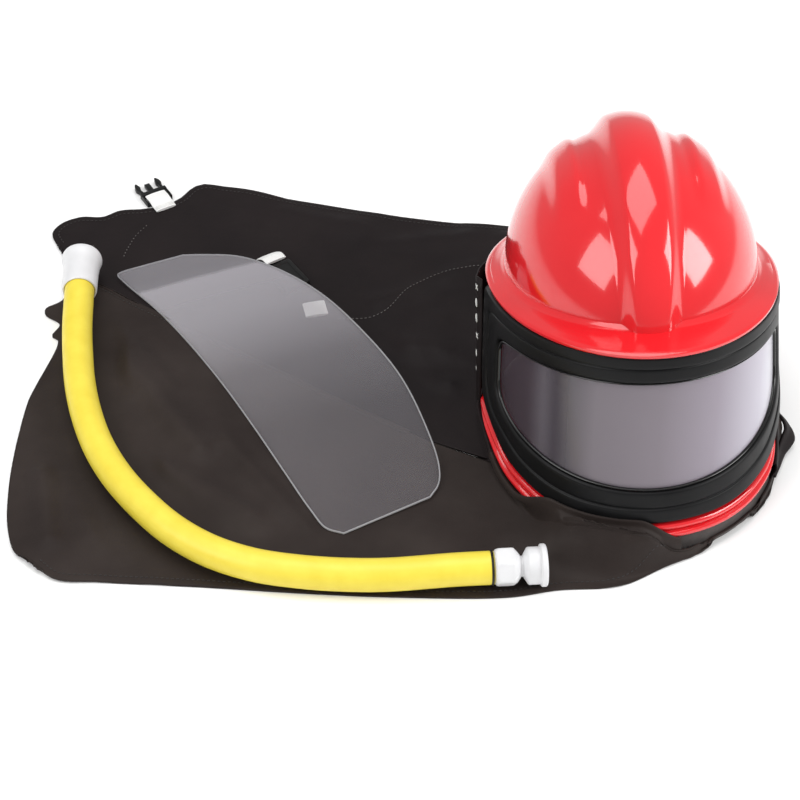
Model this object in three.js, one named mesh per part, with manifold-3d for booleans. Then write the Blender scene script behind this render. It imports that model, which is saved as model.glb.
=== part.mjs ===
import * as THREE from "three";
import { mergeVertices } from "three/addons/utils/BufferGeometryUtils.js";
import Module from "manifold-3d";

// A sandblasting hood laid down with its cape spread out, in millimetres with +Z up.
// The helmet leans back on its rim, its front towards -Y. The cape lies on the ground to its -X side,
// with the air hose, the spare window lens and the two halves of the strap buckle on it.

// Clearance between pieces that touch, and between curved walls that lie on each other
const GAP = 0.3;
const SEAT_GAP = 0.5;

// Helmet dome, brim and ridges, from the middle of the brim
const DOME_HALF_WIDTH = 100;
const DOME_FRONT = 126;
const DOME_BACK = 124;
const DOME_HEIGHT = 110;
const SHELL_WALL = 3;
const BRIM_HALF_WIDTH = 115;
const BRIM_FRONT = 164;
const BRIM_BACK = 133;
const BRIM_CROWN = 4;
const BRIM_EDGE = 5;
const BRIM_DROP = 4;
const BRIM_ROUNDING = 3;
const RIDGE_HALF_WIDTH_FRONT = 21;
const RIDGE_HALF_WIDTH_TOP = 28;
const RIDGE_HEIGHT_FRONT = 8;
const RIDGE_HEIGHT_TOP = 12;
const RIB_HALF_WIDTH = 14;
const RIB_OFFSET = 54;
const RIB_HEIGHT = 5;

// Face shell below the brim, and the beaded lip round its rim
const FACE_HALF_WIDTH_TOP = 108;
const FACE_HALF_WIDTH_RIM = 117;
const FACE_FRONT_TOP = 149;
const FACE_FRONT_RIM = 138;
const FACE_BACK_TOP = 121;
const FACE_BACK_RIM = 112;
const RIM_DEPTH_FRONT = 168;
const RIM_DEPTH_SIDE = 120;
const RIM_DEPTH_BACK = 98;
const LIP_HEIGHT = 22;
const LIP_PROUD = 9;

// Window: opening, frame, gasket and lens
const WINDOW_SPAN = 72;
const WINDOW_TOP_DEPTH = 31;
const WINDOW_BOTTOM_DEPTH_FRONT = 121;
const WINDOW_BOTTOM_DEPTH_SIDE = 93;
const FRAME_SPAN = 91;
const FRAME_THICKNESS = 8;
const LENS_THICKNESS = 2;
const LENS_TUCK = 5;
const REBATE_GAP = 2;
const GASKET_WIDTH = 3;

// Cloth collar on the rim, and the cape sewn to it
const CLOTH = 2;
const COLLAR_CLEARANCE = 4;
const COLLAR_RISE_BACK = 16;
const COLLAR_OVERLAP = 4;
const CAPE_SPREAD = 510;
const CAPE_SEAM_GAP = 0.8;
const HEM_LAG = 1.35;
const DRAPE_RUN = 46;
const CHIN_FOLD_RISE = 30;
const CHIN_FOLD_MARGIN = 14;
const FOLD_HEIGHT = 10;
const FOLD_HALF_WIDTH = 16;

// How the helmet lies: where its brim's middle is, and how it is turned
const HELMET_X = 183.3;
const HELMET_Y = 12.8;
const HELMET_LEAN = 17.3;
const HELMET_TURN = 1.4;
const HELMET_TILT = -2.1;
const RIM_LIFT = 7;

// Air hose and its two end fittings
const HOSE_DIAMETER = 26;
const CUP_MOUTH_RADIUS = 18;
const CUP_BODY_RADIUS = 16;
const CUP_BORE_RADIUS = 12.5;
const CUP_BORE_DEPTH = 20;
const CUP_LENGTH = 32;
const COUPLING_RADIUS = 16.5;
const COUPLING_NECK_RADIUS = 8;
const COUPLING_BORE_RADIUS = 9;
const COUPLING_BORE_DEPTH = 14;
const COUPLING_LENGTH = 40;

// Spare lens
const SPARE_LENGTH = 380;
const SPARE_WIDTH = 134;
const SPARE_THICKNESS = 1.5;
const SPARE_PROP = 15;
const SPARE_BEARING = -58;

// Strap buckle and its webbing
const WEBBING_WIDTH = 20;
const WEBBING_THICKNESS = 3;
const BUCKLE_WIDTH = 26;
const BUCKLE_THICKNESS = 6;
const MALE_LENGTH = 34;
const FEMALE_LENGTH = 38;
const FEMALE_THICKNESS = 8;
const TAIL_GAP = 20;
const TAIL_LENGTH = 18;
const MALE_BEARING = 31;
const FEMALE_BEARING = -147;

// Mesh steps
const BEARING_STEPS = 60;
const BRIM_STEPS = 48;
const OUTLINE_STEPS = 60;
const LENS_STEPS = 38;
const FRONT_PANEL_STEPS = 40;
const BACK_PANEL_STEPS = 42;
const BACK_PANEL_ROWS = 8;
const FITTING_SIDES = 20;
const HOSE_SIDES = 12;

// Edges of the two cape panels, seen from above, as shares of CAPE_SPREAD from the neck's middle
const SEAM = [
  { x: -0.943, y: 0.272 },
  { x: -0.892, y: 0.263 },
  { x: -0.83, y: 0.22 },
  { x: -0.776, y: 0.184 },
  { x: -0.594, y: 0.061 },
  { x: -0.441, y: -0.043 },
  { x: -0.31, y: -0.125 },
];
const FRONT_LEFT_EDGE = [
  { x: -0.943, y: 0.272 },
  { x: -0.949, y: 0.222 },
  { x: -0.975, y: 0.2 },
  { x: -0.973, y: 0.184 },
  { x: -0.945, y: 0.159 },
  { x: -0.955, y: 0.129 },
  { x: -0.943, y: 0.118 },
  { x: -0.971, y: -0.025 },
  { x: -0.978, y: -0.141 },
  { x: -0.976, y: -0.229 },
  { x: -0.965, y: -0.314 },
  { x: -0.945, y: -0.367 },
  { x: -0.922, y: -0.382 },
];
const FRONT_HEM = [
  { x: -0.922, y: -0.382 },
  { x: -0.878, y: -0.418 },
  { x: -0.81, y: -0.422 },
  { x: -0.659, y: -0.431 },
  { x: -0.508, y: -0.443 },
  { x: -0.359, y: -0.451 },
  { x: -0.198, y: -0.451 },
  { x: -0.123, y: -0.437 },
  { x: -0.029, y: -0.429 },
  { x: 0.034, y: -0.396 },
  { x: 0.099, y: -0.362 },
  { x: 0.133, y: -0.328 },
  { x: 0.184, y: -0.29 },
  { x: 0.215, y: -0.25 },
  { x: 0.235, y: -0.2 },
  { x: 0.25, y: -0.152 },
  { x: 0.26, y: -0.1 },
  { x: 0.262, y: -0.045 },
];
const BACK_LEFT_EDGE = [
  { x: -0.943, y: 0.272 },
  { x: -0.953, y: 0.31 },
  { x: -0.967, y: 0.361 },
];
const BACK_HEM = [
  { x: -0.967, y: 0.361 },
  { x: -0.98, y: 0.378 },
  { x: -0.99, y: 0.406 },
  { x: -0.976, y: 0.435 },
  { x: -0.945, y: 0.453 },
  { x: -0.904, y: 0.455 },
  { x: -0.875, y: 0.473 },
  { x: -0.833, y: 0.478 },
  { x: -0.794, y: 0.488 },
  { x: -0.767, y: 0.51 },
  { x: -0.738, y: 0.545 },
  { x: -0.543, y: 0.5 },
  { x: -0.359, y: 0.455 },
  { x: -0.163, y: 0.424 },
  { x: -0.006, y: 0.43 },
  { x: 0.141, y: 0.367 },
  { x: 0.233, y: 0.249 },
  { x: 0.261, y: 0.092 },
  { x: 0.262, y: -0.045 },
];

// Bearings on the collar where the two panels meet it
const SEAM_BEARING = -70;
const RIGHT_BEARING = 88;

// Folds in the cape: ridge lines from one point to another, as shares of CAPE_SPREAD from the neck's
// middle, with the height and half width as shares of FOLD_HEIGHT and FOLD_HALF_WIDTH
const FOLDS = [
  { fromX: -0.722, fromY: 0.531, toX: -0.64, toY: 0.4, height: 0.5, width: 0.8 },
  { fromX: 0.03, fromY: -0.365, toX: 0.15, toY: -0.295, height: 0.5, width: 0.4 },
  { fromX: 0.247, fromY: -0.1, toX: 0.237, toY: -0.19, height: 2.2, width: 0.5 },
  { fromX: -0.23, fromY: 0.305, toX: -0.46, toY: 0.175, height: 0.4, width: 1 },
  { fromX: 0, fromY: 0.31, toX: 0.12, toY: 0.27, height: 0.8, width: 1.3 },
];

// Places of the loose pieces on the cape, as shares of CAPE_SPREAD from the neck's middle
const SPARE_PLACE = { x: -0.7516, y: 0.2925 };
const MALE_PLACE = { x: -0.8025, y: 0.4975 };
const FEMALE_PLACE = { x: -0.578, y: 0.3053 };

// Hose route, chosen by hand from the cup to the coupling: x and y are shares of CAPE_SPREAD from the
// neck's middle, z counts from the top of the cape
const HOSE_ROUTE = [
  { x: -0.9143, y: 0.2298, z: 18.6 },
  { x: -0.9114, y: 0.1867, z: 18.6 },
  { x: -0.9065, y: 0.1161, z: 15 },
  { x: -0.8976, y: 0.0494, z: 13.5 },
  { x: -0.8869, y: -0.0133, z: 13.5 },
  { x: -0.8692, y: -0.082, z: 13.5 },
  { x: -0.8418, y: -0.1565, z: 13.5 },
  { x: -0.8045, y: -0.2251, z: 13.5 },
  { x: -0.7575, y: -0.2878, z: 13.5 },
  { x: -0.7045, y: -0.3427, z: 13.5 },
  { x: -0.6457, y: -0.3839, z: 13.5 },
  { x: -0.579, y: -0.4114, z: 13.5 },
  { x: -0.5084, y: -0.4251, z: 13.5 },
  { x: -0.4418, y: -0.431, z: 13.5 },
  { x: -0.379, y: -0.432, z: 14 },
  { x: -0.2771, y: -0.4271, z: 17 },
  { x: -0.2202, y: -0.4231, z: 17 },
];

// Spare lens: each row is a straight line across the sheet, from its left edge to its right edge.
// along is a share of SPARE_LENGTH, left and right are shares of SPARE_WIDTH, lift of SPARE_PROP.
const SPARE_ROWS = [
  { leftAlong: -0.063, left: -0.3, rightAlong: -0.026, right: 0.075, leftLift: 0.25, rightLift: 0.62 },
  { leftAlong: -0.062, left: -0.365, rightAlong: 0.005, right: 0.2, leftLift: 0.2, rightLift: 0.72 },
  { leftAlong: -0.035, left: -0.36, rightAlong: 0.06, right: 0.38, leftLift: 0.12, rightLift: 0.85 },
  { leftAlong: 0.09, left: -0.297, rightAlong: 0.165, right: 0.54, leftLift: 0.02, rightLift: 1 },
  { leftAlong: 0.22, left: -0.268, rightAlong: 0.29, right: 0.647, leftLift: 0, rightLift: 1 },
  { leftAlong: 0.38, left: -0.262, rightAlong: 0.44, right: 0.693, leftLift: 0, rightLift: 0.88 },
  { leftAlong: 0.54, left: -0.28, rightAlong: 0.6, right: 0.69, leftLift: 0, rightLift: 0.68 },
  { leftAlong: 0.7, left: -0.31, rightAlong: 0.745, right: 0.61, leftLift: 0, rightLift: 0.46 },
  { leftAlong: 0.83, left: -0.333, rightAlong: 0.87, right: 0.495, leftLift: 0, rightLift: 0.26 },
  { leftAlong: 0.89, left: -0.328, rightAlong: 0.913, right: 0.413, leftLift: 0, rightLift: 0.16 },
  { leftAlong: 0.922, left: -0.262, rightAlong: 0.933, right: 0.318, leftLift: 0, rightLift: 0.1 },
];

const wasm = await Module();
wasm.setup();

const { lerp, smoothstep } = THREE.MathUtils;
const radians = THREE.MathUtils.degToRad;
const FULL_TURN = 2 * Math.PI;

// A closed geometry from triangles given as triples of points, its faces turned to point out
function closedGeometry(triangles) {
  let sixfoldVolume = 0;
  for (const [a, b, c] of triangles) {
    sixfoldVolume += a.dot(new THREE.Vector3().crossVectors(b, c));
  }
  const positions = [];
  for (const [a, b, c] of triangles) {
    const [p, q, r] = sixfoldVolume < 0 ? [a, c, b] : [a, b, c];
    positions.push(p.x, p.y, p.z, q.x, q.y, q.z, r.x, r.y, r.z);
  }
  const geometry = new THREE.BufferGeometry();
  geometry.setAttribute("position", new THREE.Float32BufferAttribute(positions, 3));
  geometry.computeVertexNormals();
  return geometry;
}

// Adds the two triangles of a four-sided face, leaving out any that has shrunk to a line
function addQuad(triangles, a, b, c, d) {
  const same = (p, q) => p.distanceToSquared(q) < 1e-9;
  for (const [p, q, r] of [
    [a, b, c],
    [a, c, d],
  ]) {
    if (!same(p, q) && !same(q, r) && !same(r, p)) triangles.push([p, q, r]);
  }
}

// A closed skin over sections that are loops of the same number of points.
// A ring joins its last section to its first. An open run is closed at both ends by strips that
// join each point of a loop to the point facing it.
function loft(sections, isRing) {
  const triangles = [];
  const size = sections[0].length;
  const runs = isRing ? sections.length : sections.length - 1;
  for (let i = 0; i < runs; i++) {
    const here = sections[i];
    const next = sections[(i + 1) % sections.length];
    for (let k = 0; k < size; k++) {
      const other = (k + 1) % size;
      addQuad(triangles, here[k], here[other], next[other], next[k]);
    }
  }
  if (!isRing) {
    const first = sections[0];
    const last = sections[sections.length - 1];
    for (let k = 0; k < size / 2 - 1; k++) {
      addQuad(triangles, first[k], first[size - 1 - k], first[size - 2 - k], first[k + 1]);
      addQuad(triangles, last[k], last[k + 1], last[size - 2 - k], last[size - 1 - k]);
    }
  }
  return closedGeometry(triangles);
}

// A solid for joining and cutting, from a closed geometry
function toSolid(geometry) {
  const bare = new THREE.BufferGeometry();
  const source = geometry.index ? geometry.toNonIndexed() : geometry;
  bare.setAttribute("position", source.getAttribute("position"));
  const merged = mergeVertices(bare, 1e-4);
  return new wasm.Manifold(
    new wasm.Mesh({
      numProp: 3,
      vertProperties: merged.getAttribute("position").array,
      triVerts: new Uint32Array(merged.index.array),
    }),
  );
}

// A geometry from a solid
function toGeometry(solid) {
  const mesh = solid.getMesh();
  const geometry = new THREE.BufferGeometry();
  geometry.setAttribute("position", new THREE.Float32BufferAttribute(mesh.vertProperties, 3));
  geometry.setIndex(Array.from(mesh.triVerts));
  geometry.computeVertexNormals();
  return geometry;
}

// A point on an oval about the helmet's axis; bearing 0 is the front, a quarter turn is +X
function ovalPoint(bearing, halfWidth, front, back, z) {
  const ahead = Math.cos(bearing);
  return new THREE.Vector3(halfWidth * Math.sin(bearing), -(ahead > 0 ? front : back) * ahead, z);
}

// How much of a direction is towards the front, from 0 at the sides to 1
function towardsFront(bearing) {
  return Math.max(0, Math.cos(bearing));
}

// Underside of the brim
function brimUnderside(bearing) {
  return -BRIM_EDGE - BRIM_DROP * towardsFront(bearing) ** 2;
}

// Dome surface over the width, swept from front to back; ridge and ribs stand out of it
function domeSolid(inset, hasRidges, bottom) {
  const halfWidth = DOME_HALF_WIDTH - inset;
  const height = DOME_HEIGHT - inset;
  const arcSteps = hasRidges ? 18 : 14;
  const outsideShares = hasRidges ? [0.12, 0.24, 0.38, 0.52, 0.68, 0.82, 0.93, 1] : [0.25, 0.5, 0.7, 0.85, 0.95, 1];
  const insideShares = hasRidges ? [0, 0.5, 0.82, 1] : [0, 0.5];
  // Columns: inside the ridge as shares of its half width, outside as shares of what is left
  const columns = [];
  for (const share of insideShares) columns.push({ inside: share, outside: 0 });
  for (const share of outsideShares) columns.push({ inside: 1.12, outside: share });
  const mirrored = columns.slice(1).reverse().map((column) => ({ ...column, sign: -1 }));
  const ordered = [...mirrored, ...columns.map((column) => ({ ...column, sign: 1 }))];
  const sections = ordered.map(({ inside, outside, sign }) => {
    const loop = [];
    for (let step = 0; step <= arcSteps; step++) {
      const arc = (Math.PI * step) / arcSteps;
      const ridgeHalfWidth = lerp(RIDGE_HALF_WIDTH_FRONT, RIDGE_HALF_WIDTH_TOP, Math.sin(arc));
      const start = inside * ridgeHalfWidth;
      const across = outside > 0 ? lerp(start, halfWidth, outside) : start;
      const shrink = Math.sqrt(Math.max(0, 1 - (across / halfWidth) ** 2));
      let proud = 0;
      if (hasRidges && inside < 1) proud = lerp(RIDGE_HEIGHT_FRONT, RIDGE_HEIGHT_TOP, Math.sin(arc));
      if (hasRidges && outside > 0) {
        const fromRib = Math.abs(across - RIB_OFFSET) / RIB_HALF_WIDTH;
        proud = RIB_HEIGHT * (1 - smoothstep(fromRib, 0.4, 1.1)) * smoothstep(Math.sin(arc), 0.72, 0.95);
      }
      const depth = arc < Math.PI / 2 ? DOME_FRONT - inset : DOME_BACK - inset;
      loop.push(
        new THREE.Vector3(
          sign * across,
          -Math.cos(arc) * (depth * shrink + proud),
          Math.sin(arc) * (height * shrink + proud),
        ),
      );
    }
    const frontEnd = loop[0].clone().setZ(bottom);
    const backEnd = loop[loop.length - 1].clone().setZ(bottom);
    return [...loop, backEnd, frontEnd];
  });
  const loopSize = sections[0].length;
  // The first and last sections have shrunk to a short upright line, so only their edges remain
  return toSolid(loft(sections.map((loop) => loop.slice(0, loopSize)), false));
}

// Brim: a plate round the dome with a rounded edge
function brimSolid() {
  const sections = [];
  for (let step = 0; step < BRIM_STEPS; step++) {
    const bearing = (FULL_TURN * step) / BRIM_STEPS;
    const under = brimUnderside(bearing);
    const top = under + BRIM_EDGE;
    const at = (halfWidth, front, back, z) => ovalPoint(bearing, halfWidth, front, back, z);
    const inner = [DOME_HALF_WIDTH - 12, DOME_FRONT - 12, DOME_BACK - 12];
    const round = [BRIM_HALF_WIDTH - BRIM_ROUNDING, BRIM_FRONT - BRIM_ROUNDING, BRIM_BACK - BRIM_ROUNDING];
    const edge = [BRIM_HALF_WIDTH, BRIM_FRONT, BRIM_BACK];
    sections.push([
      at(...inner, BRIM_CROWN),
      at(DOME_HALF_WIDTH + 1, DOME_FRONT + 1, DOME_BACK + 1, BRIM_CROWN),
      at(...round, top + 0.8),
      at(...edge, top - BRIM_EDGE * 0.3),
      at(...edge, under + BRIM_EDGE * 0.2),
      at(...round, under),
      at(...inner, under),
    ]);
  }
  return toSolid(loft(sections, true));
}

function helmetDomeGeometry() {
  const outside = domeSolid(0, true, -BRIM_EDGE / 2).add(brimSolid());
  return toGeometry(outside.subtract(domeSolid(SHELL_WALL, false, -4 * BRIM_EDGE)));
}

// Level of the shell's rim
function rimLevel(bearing) {
  const ahead = Math.cos(bearing);
  const end = ahead > 0 ? RIM_DEPTH_FRONT : RIM_DEPTH_BACK;
  return -lerp(RIM_DEPTH_SIDE, end, Math.abs(ahead) ** 1.5);
}

// A point on the face shell's outside, or proud of it
function facePoint(bearing, level, proud) {
  const share = -level / RIM_DEPTH_FRONT;
  return ovalPoint(
    bearing,
    lerp(FACE_HALF_WIDTH_TOP, FACE_HALF_WIDTH_RIM, share) + proud,
    lerp(FACE_FRONT_TOP, FACE_FRONT_RIM, share) + proud,
    lerp(FACE_BACK_TOP, FACE_BACK_RIM, share) + proud,
    level,
  );
}

// How much of the lip there is: all of it round the front, none at the back
function lipShare(bearing) {
  return 1 - smoothstep(Math.abs(bearing), radians(88), radians(104));
}

// How far the collar has climbed over the outside of the rim: not at the front, fully at the back
function collarClimb(bearing) {
  return smoothstep(Math.abs(bearing), radians(105), radians(118));
}

// Bearings round the helmet from the back, over the front, to the back again
function bearingsAround(count) {
  return Array.from({ length: count }, (_, step) => -Math.PI + (FULL_TURN * step) / count);
}

// Window outlines: a rounded shape in bearing and level
function windowOutline(outset) {
  return {
    span: radians(WINDOW_SPAN) + outset / FACE_HALF_WIDTH_TOP,
    top: () => -WINDOW_TOP_DEPTH + outset,
    bottom: (bearing) =>
      -lerp(WINDOW_BOTTOM_DEPTH_SIDE, WINDOW_BOTTOM_DEPTH_FRONT, towardsFront(bearing) ** 1.5) - outset,
    topPower: 9,
    bottomPower: 3.4,
  };
}

const frameOutline = {
  span: radians(FRAME_SPAN),
  top: (bearing) => brimUnderside(bearing) - 2 * GAP,
  bottom: (bearing) => rimLevel(bearing) + LIP_HEIGHT + 2 * GAP,
  topPower: 14,
  bottomPower: 3.6,
};

// A point on an outline at an angle seen from its middle
function outlinePoint(outline, angle) {
  const across = Math.cos(angle);
  const up = Math.sin(angle);
  const power = up > 0 ? outline.topPower : outline.bottomPower;
  const reach = (Math.abs(across) ** power + Math.abs(up) ** power) ** (-1 / power);
  const bearing = outline.span * across * reach;
  const top = outline.top(bearing);
  const bottom = outline.bottom(bearing);
  return { bearing, level: (top + bottom + up * reach * (top - bottom)) / 2 };
}

// Angles that give points at even distances round the middle of the frame's band
function evenAngles(count) {
  const fine = 40 * count;
  const lengths = [0];
  const angles = [0];
  let last = null;
  for (let step = 0; step <= fine; step++) {
    const angle = (FULL_TURN * step) / fine;
    const outer = outlinePoint(frameOutline, angle);
    const inner = outlinePoint(windowOutline(0), angle);
    const here = facePoint((outer.bearing + inner.bearing) / 2, (outer.level + inner.level) / 2, 0);
    if (last) {
      lengths.push(lengths[lengths.length - 1] + here.distanceTo(last));
      angles.push(angle);
    }
    last = here;
  }
  const total = lengths[lengths.length - 1];
  let index = 0;
  return Array.from({ length: count }, (_, step) => {
    while (lengths[index] < (total * (step + 0.5)) / count) index++;
    return angles[index];
  });
}

// A sheet that fills an outline between two depths of the face shell
function outlineSheet(outline, inner, outer) {
  const sections = [];
  for (let step = 0; step <= LENS_STEPS; step++) {
    const across = -Math.cos((Math.PI * step) / LENS_STEPS);
    const bearing = outline.span * across;
    const top = outline.top(bearing);
    const bottom = outline.bottom(bearing);
    const reach = (power) => Math.max(0, 1 - Math.abs(across) ** power) ** (1 / power);
    const middle = (top + bottom) / 2;
    const high = middle + (reach(outline.topPower) * (top - bottom)) / 2;
    const low = middle - (reach(outline.bottomPower) * (top - bottom)) / 2;
    sections.push([
      facePoint(bearing, high, outer),
      facePoint(bearing, low, outer),
      facePoint(bearing, low, inner),
      facePoint(bearing, high, inner),
    ]);
  }
  return loft(sections, false);
}

function faceShellGeometry() {
  const sections = bearingsAround(BEARING_STEPS).map((bearing) => {
    const rim = rimLevel(bearing);
    const top = brimUnderside(bearing) - GAP;
    const bead = LIP_PROUD * lipShare(bearing);
    return [
      facePoint(bearing, top, 0),
      facePoint(bearing, rim + LIP_HEIGHT, 0),
      facePoint(bearing, rim + LIP_HEIGHT * 0.85, bead * 0.9),
      facePoint(bearing, rim + LIP_HEIGHT * 0.52, bead * 0.7),
      facePoint(bearing, rim + LIP_HEIGHT * 0.3, bead),
      facePoint(bearing, rim, bead * 0.7),
      facePoint(bearing, rim, -SHELL_WALL),
      facePoint(bearing, rim + LIP_HEIGHT, -SHELL_WALL),
      facePoint(bearing, top, -SHELL_WALL),
    ];
  });
  const opening = outlineSheet(windowOutline(0), -3 * SHELL_WALL, 2 * SHELL_WALL);
  return toGeometry(toSolid(loft(sections, true)).subtract(toSolid(opening)));
}

// Window frame: a moulded band with a raised outer tier, a groove, and a rebate over the lens edge
function windowFrameGeometry() {
  const rebateDepth = SEAT_GAP + LENS_THICKNESS + SEAT_GAP;
  const sections = evenAngles(OUTLINE_STEPS).map((angle) => {
    const outer = outlinePoint(frameOutline, angle);
    const rebate = outlinePoint(windowOutline(LENS_TUCK + REBATE_GAP), angle);
    const inner = outlinePoint(windowOutline(0), angle);
    const between = (a, b, share, proud) =>
      facePoint(lerp(a.bearing, b.bearing, share), lerp(a.level, b.level, share), proud);
    return [
      between(outer, inner, 0, SEAT_GAP),
      between(outer, inner, 0, FRAME_THICKNESS * 0.75),
      between(outer, inner, 0.08, FRAME_THICKNESS),
      between(outer, inner, 0.42, FRAME_THICKNESS),
      between(outer, inner, 0.48, FRAME_THICKNESS * 0.72),
      between(outer, inner, 0.54, FRAME_THICKNESS * 0.86),
      between(outer, inner, 0.94, FRAME_THICKNESS * 0.86),
      between(outer, inner, 1, FRAME_THICKNESS * 0.65),
      between(outer, inner, 1, rebateDepth),
      between(rebate, inner, 0, rebateDepth),
      between(rebate, inner, 0, SEAT_GAP),
      between(rebate, outer, 0.33, SEAT_GAP),
      between(rebate, outer, 0.66, SEAT_GAP),
    ];
  });
  return loft(sections, true);
}

function windowGasketGeometry() {
  const floor = SEAT_GAP + LENS_THICKNESS + SEAT_GAP;
  const sections = evenAngles(OUTLINE_STEPS).map((angle) => {
    const near = outlinePoint(windowOutline(-GAP), angle);
    const far = outlinePoint(windowOutline(-GAP - GASKET_WIDTH), angle);
    return [
      facePoint(near.bearing, near.level, floor),
      facePoint(near.bearing, near.level, floor + GASKET_WIDTH * 0.8),
      facePoint(lerp(near.bearing, far.bearing, 0.6), lerp(near.level, far.level, 0.6), floor + GASKET_WIDTH),
      facePoint(far.bearing, far.level, floor),
    ];
  });
  return loft(sections, true);
}

function windowLensGeometry() {
  return outlineSheet(windowOutline(LENS_TUCK), SEAT_GAP, SEAT_GAP + LENS_THICKNESS);
}

// The helmet's own frame, set down so that the lowest point of its rim is RIM_LIFT above the ground
const helmetTurn = new THREE.Euler(-radians(HELMET_LEAN), radians(HELMET_TILT), radians(HELMET_TURN), "ZXY");
const helmetFrame = new THREE.Matrix4().makeRotationFromEuler(helmetTurn);
const lowestRim = Math.min(
  ...bearingsAround(BEARING_STEPS).map(
    (bearing) => facePoint(bearing, rimLevel(bearing), 0).applyMatrix4(helmetFrame).z,
  ),
);
helmetFrame.setPosition(HELMET_X, HELMET_Y, RIM_LIFT - lowestRim);

// Bottom of the collar: the level at which its outside is COLLAR_CLEARANCE above the ground
function collarBottom(bearing) {
  const heightAt = (level) => facePoint(bearing, level, 2 * CLOTH).applyMatrix4(helmetFrame).z;
  const rim = rimLevel(bearing);
  const fallPerLevel = heightAt(rim) - heightAt(rim - 1);
  return rim - (heightAt(rim) - COLLAR_CLEARANCE) / fallPerLevel;
}

// How far the collar's inside stands off the face shell's outside
function collarProud(bearing) {
  return lerp(CLOTH, GAP, collarClimb(bearing));
}

function collarGeometry() {
  const sections = bearingsAround(BEARING_STEPS).map((bearing) => {
    const top = lerp(rimLevel(bearing) - GAP, rimLevel(bearing) + COLLAR_RISE_BACK, collarClimb(bearing));
    const bottom = collarBottom(bearing);
    const inside = collarProud(bearing);
    return [
      facePoint(bearing, top, inside + CLOTH),
      facePoint(bearing, bottom, inside + CLOTH),
      facePoint(bearing, bottom, inside),
      facePoint(bearing, top, inside),
    ];
  });
  return loft(sections, true);
}

// How much of the chin fold covers the lip at a bearing; the margin widens it at both ends
function chinFold(bearing, margin) {
  const rise = smoothstep(bearing, radians(-42 - margin), radians(-26 - margin));
  return rise * (1 - smoothstep(bearing, radians(-3 + margin), radians(8 + margin)));
}

// The cape's edge on the collar: sewn over the collar's lower edge, and in front of the lip at the chin fold
function collarFoot(bearing) {
  const fold = chinFold(bearing, 0);
  const onCollar = facePoint(
    bearing,
    collarBottom(bearing) + COLLAR_OVERLAP * (1 - towardsFront(bearing)),
    collarProud(bearing) + CLOTH + 3 * SEAT_GAP,
  ).applyMatrix4(helmetFrame);
  const onLip = facePoint(bearing, rimLevel(bearing), LIP_PROUD + 2 * CLOTH + GAP).applyMatrix4(helmetFrame);
  const foot = onCollar.clone().lerp(onLip, chinFold(bearing, CHIN_FOLD_MARGIN));
  const low = onCollar.z + COLLAR_OVERLAP * towardsFront(bearing);
  foot.z = Math.max(CLOTH + GAP, lerp(low, low + CHIN_FOLD_RISE, fold));
  return foot;
}

const footPoints = bearingsAround(3 * BEARING_STEPS).map(collarFoot);

// Height of the cape's top at a point on the ground
function capeHeight(x, y) {
  let nearest = Infinity;
  let footHeight = CLOTH;
  footPoints.forEach((start, index) => {
    const end = footPoints[(index + 1) % footPoints.length];
    const runX = end.x - start.x;
    const runY = end.y - start.y;
    const share = THREE.MathUtils.clamp(
      ((x - start.x) * runX + (y - start.y) * runY) / (runX * runX + runY * runY),
      0,
      1,
    );
    const distance = Math.hypot(x - start.x - share * runX, y - start.y - share * runY);
    if (distance < nearest) {
      nearest = distance;
      footHeight = lerp(start.z, end.z, share);
    }
  });
  const fall = Math.max(0, 1 - nearest / DRAPE_RUN) ** 2.2;
  let height = lerp(CLOTH, footHeight, fall);
  for (const fold of FOLDS) {
    const fromX = HELMET_X + fold.fromX * CAPE_SPREAD;
    const fromY = HELMET_Y + fold.fromY * CAPE_SPREAD;
    const runX = HELMET_X + fold.toX * CAPE_SPREAD - fromX;
    const runY = HELMET_Y + fold.toY * CAPE_SPREAD - fromY;
    const share = THREE.MathUtils.clamp(
      ((x - fromX) * runX + (y - fromY) * runY) / (runX * runX + runY * runY),
      0,
      1,
    );
    const distance = Math.hypot(x - fromX - share * runX, y - fromY - share * runY);
    const ridge = 1 - smoothstep(distance, 0, fold.width * FOLD_HALF_WIDTH);
    height += fold.height * FOLD_HEIGHT * ridge * (1 - fall);
  }
  return height;
}

// A point of an edge table, on the ground
function capePoint(row) {
  return new THREE.Vector3(HELMET_X + row.x * CAPE_SPREAD, HELMET_Y + row.y * CAPE_SPREAD, 0);
}

// Points along a row of points: evenly spaced, or lagging behind even spacing where lag is over 1
function spacedPoints(points, steps, lag = 1) {
  const lengths = [0];
  for (let i = 1; i < points.length; i++) {
    lengths.push(lengths[i - 1] + points[i].distanceTo(points[i - 1]));
  }
  const total = lengths[lengths.length - 1];
  const spaced = [];
  for (let step = 0; step <= steps; step++) {
    const wanted = total * (step / steps) ** lag;
    let i = 1;
    while (i < points.length - 1 && lengths[i] < wanted) i++;
    const share = (wanted - lengths[i - 1]) / (lengths[i] - lengths[i - 1]);
    spaced.push(points[i - 1].clone().lerp(points[i], Math.min(1, Math.max(0, share))));
  }
  return spaced;
}

// A smooth curve through the rows of an edge table
function smoothEdge(rows) {
  return new THREE.CatmullRomCurve3(rows.map(capePoint), false, "centripetal").getPoints(rows.length * 6);
}

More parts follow.
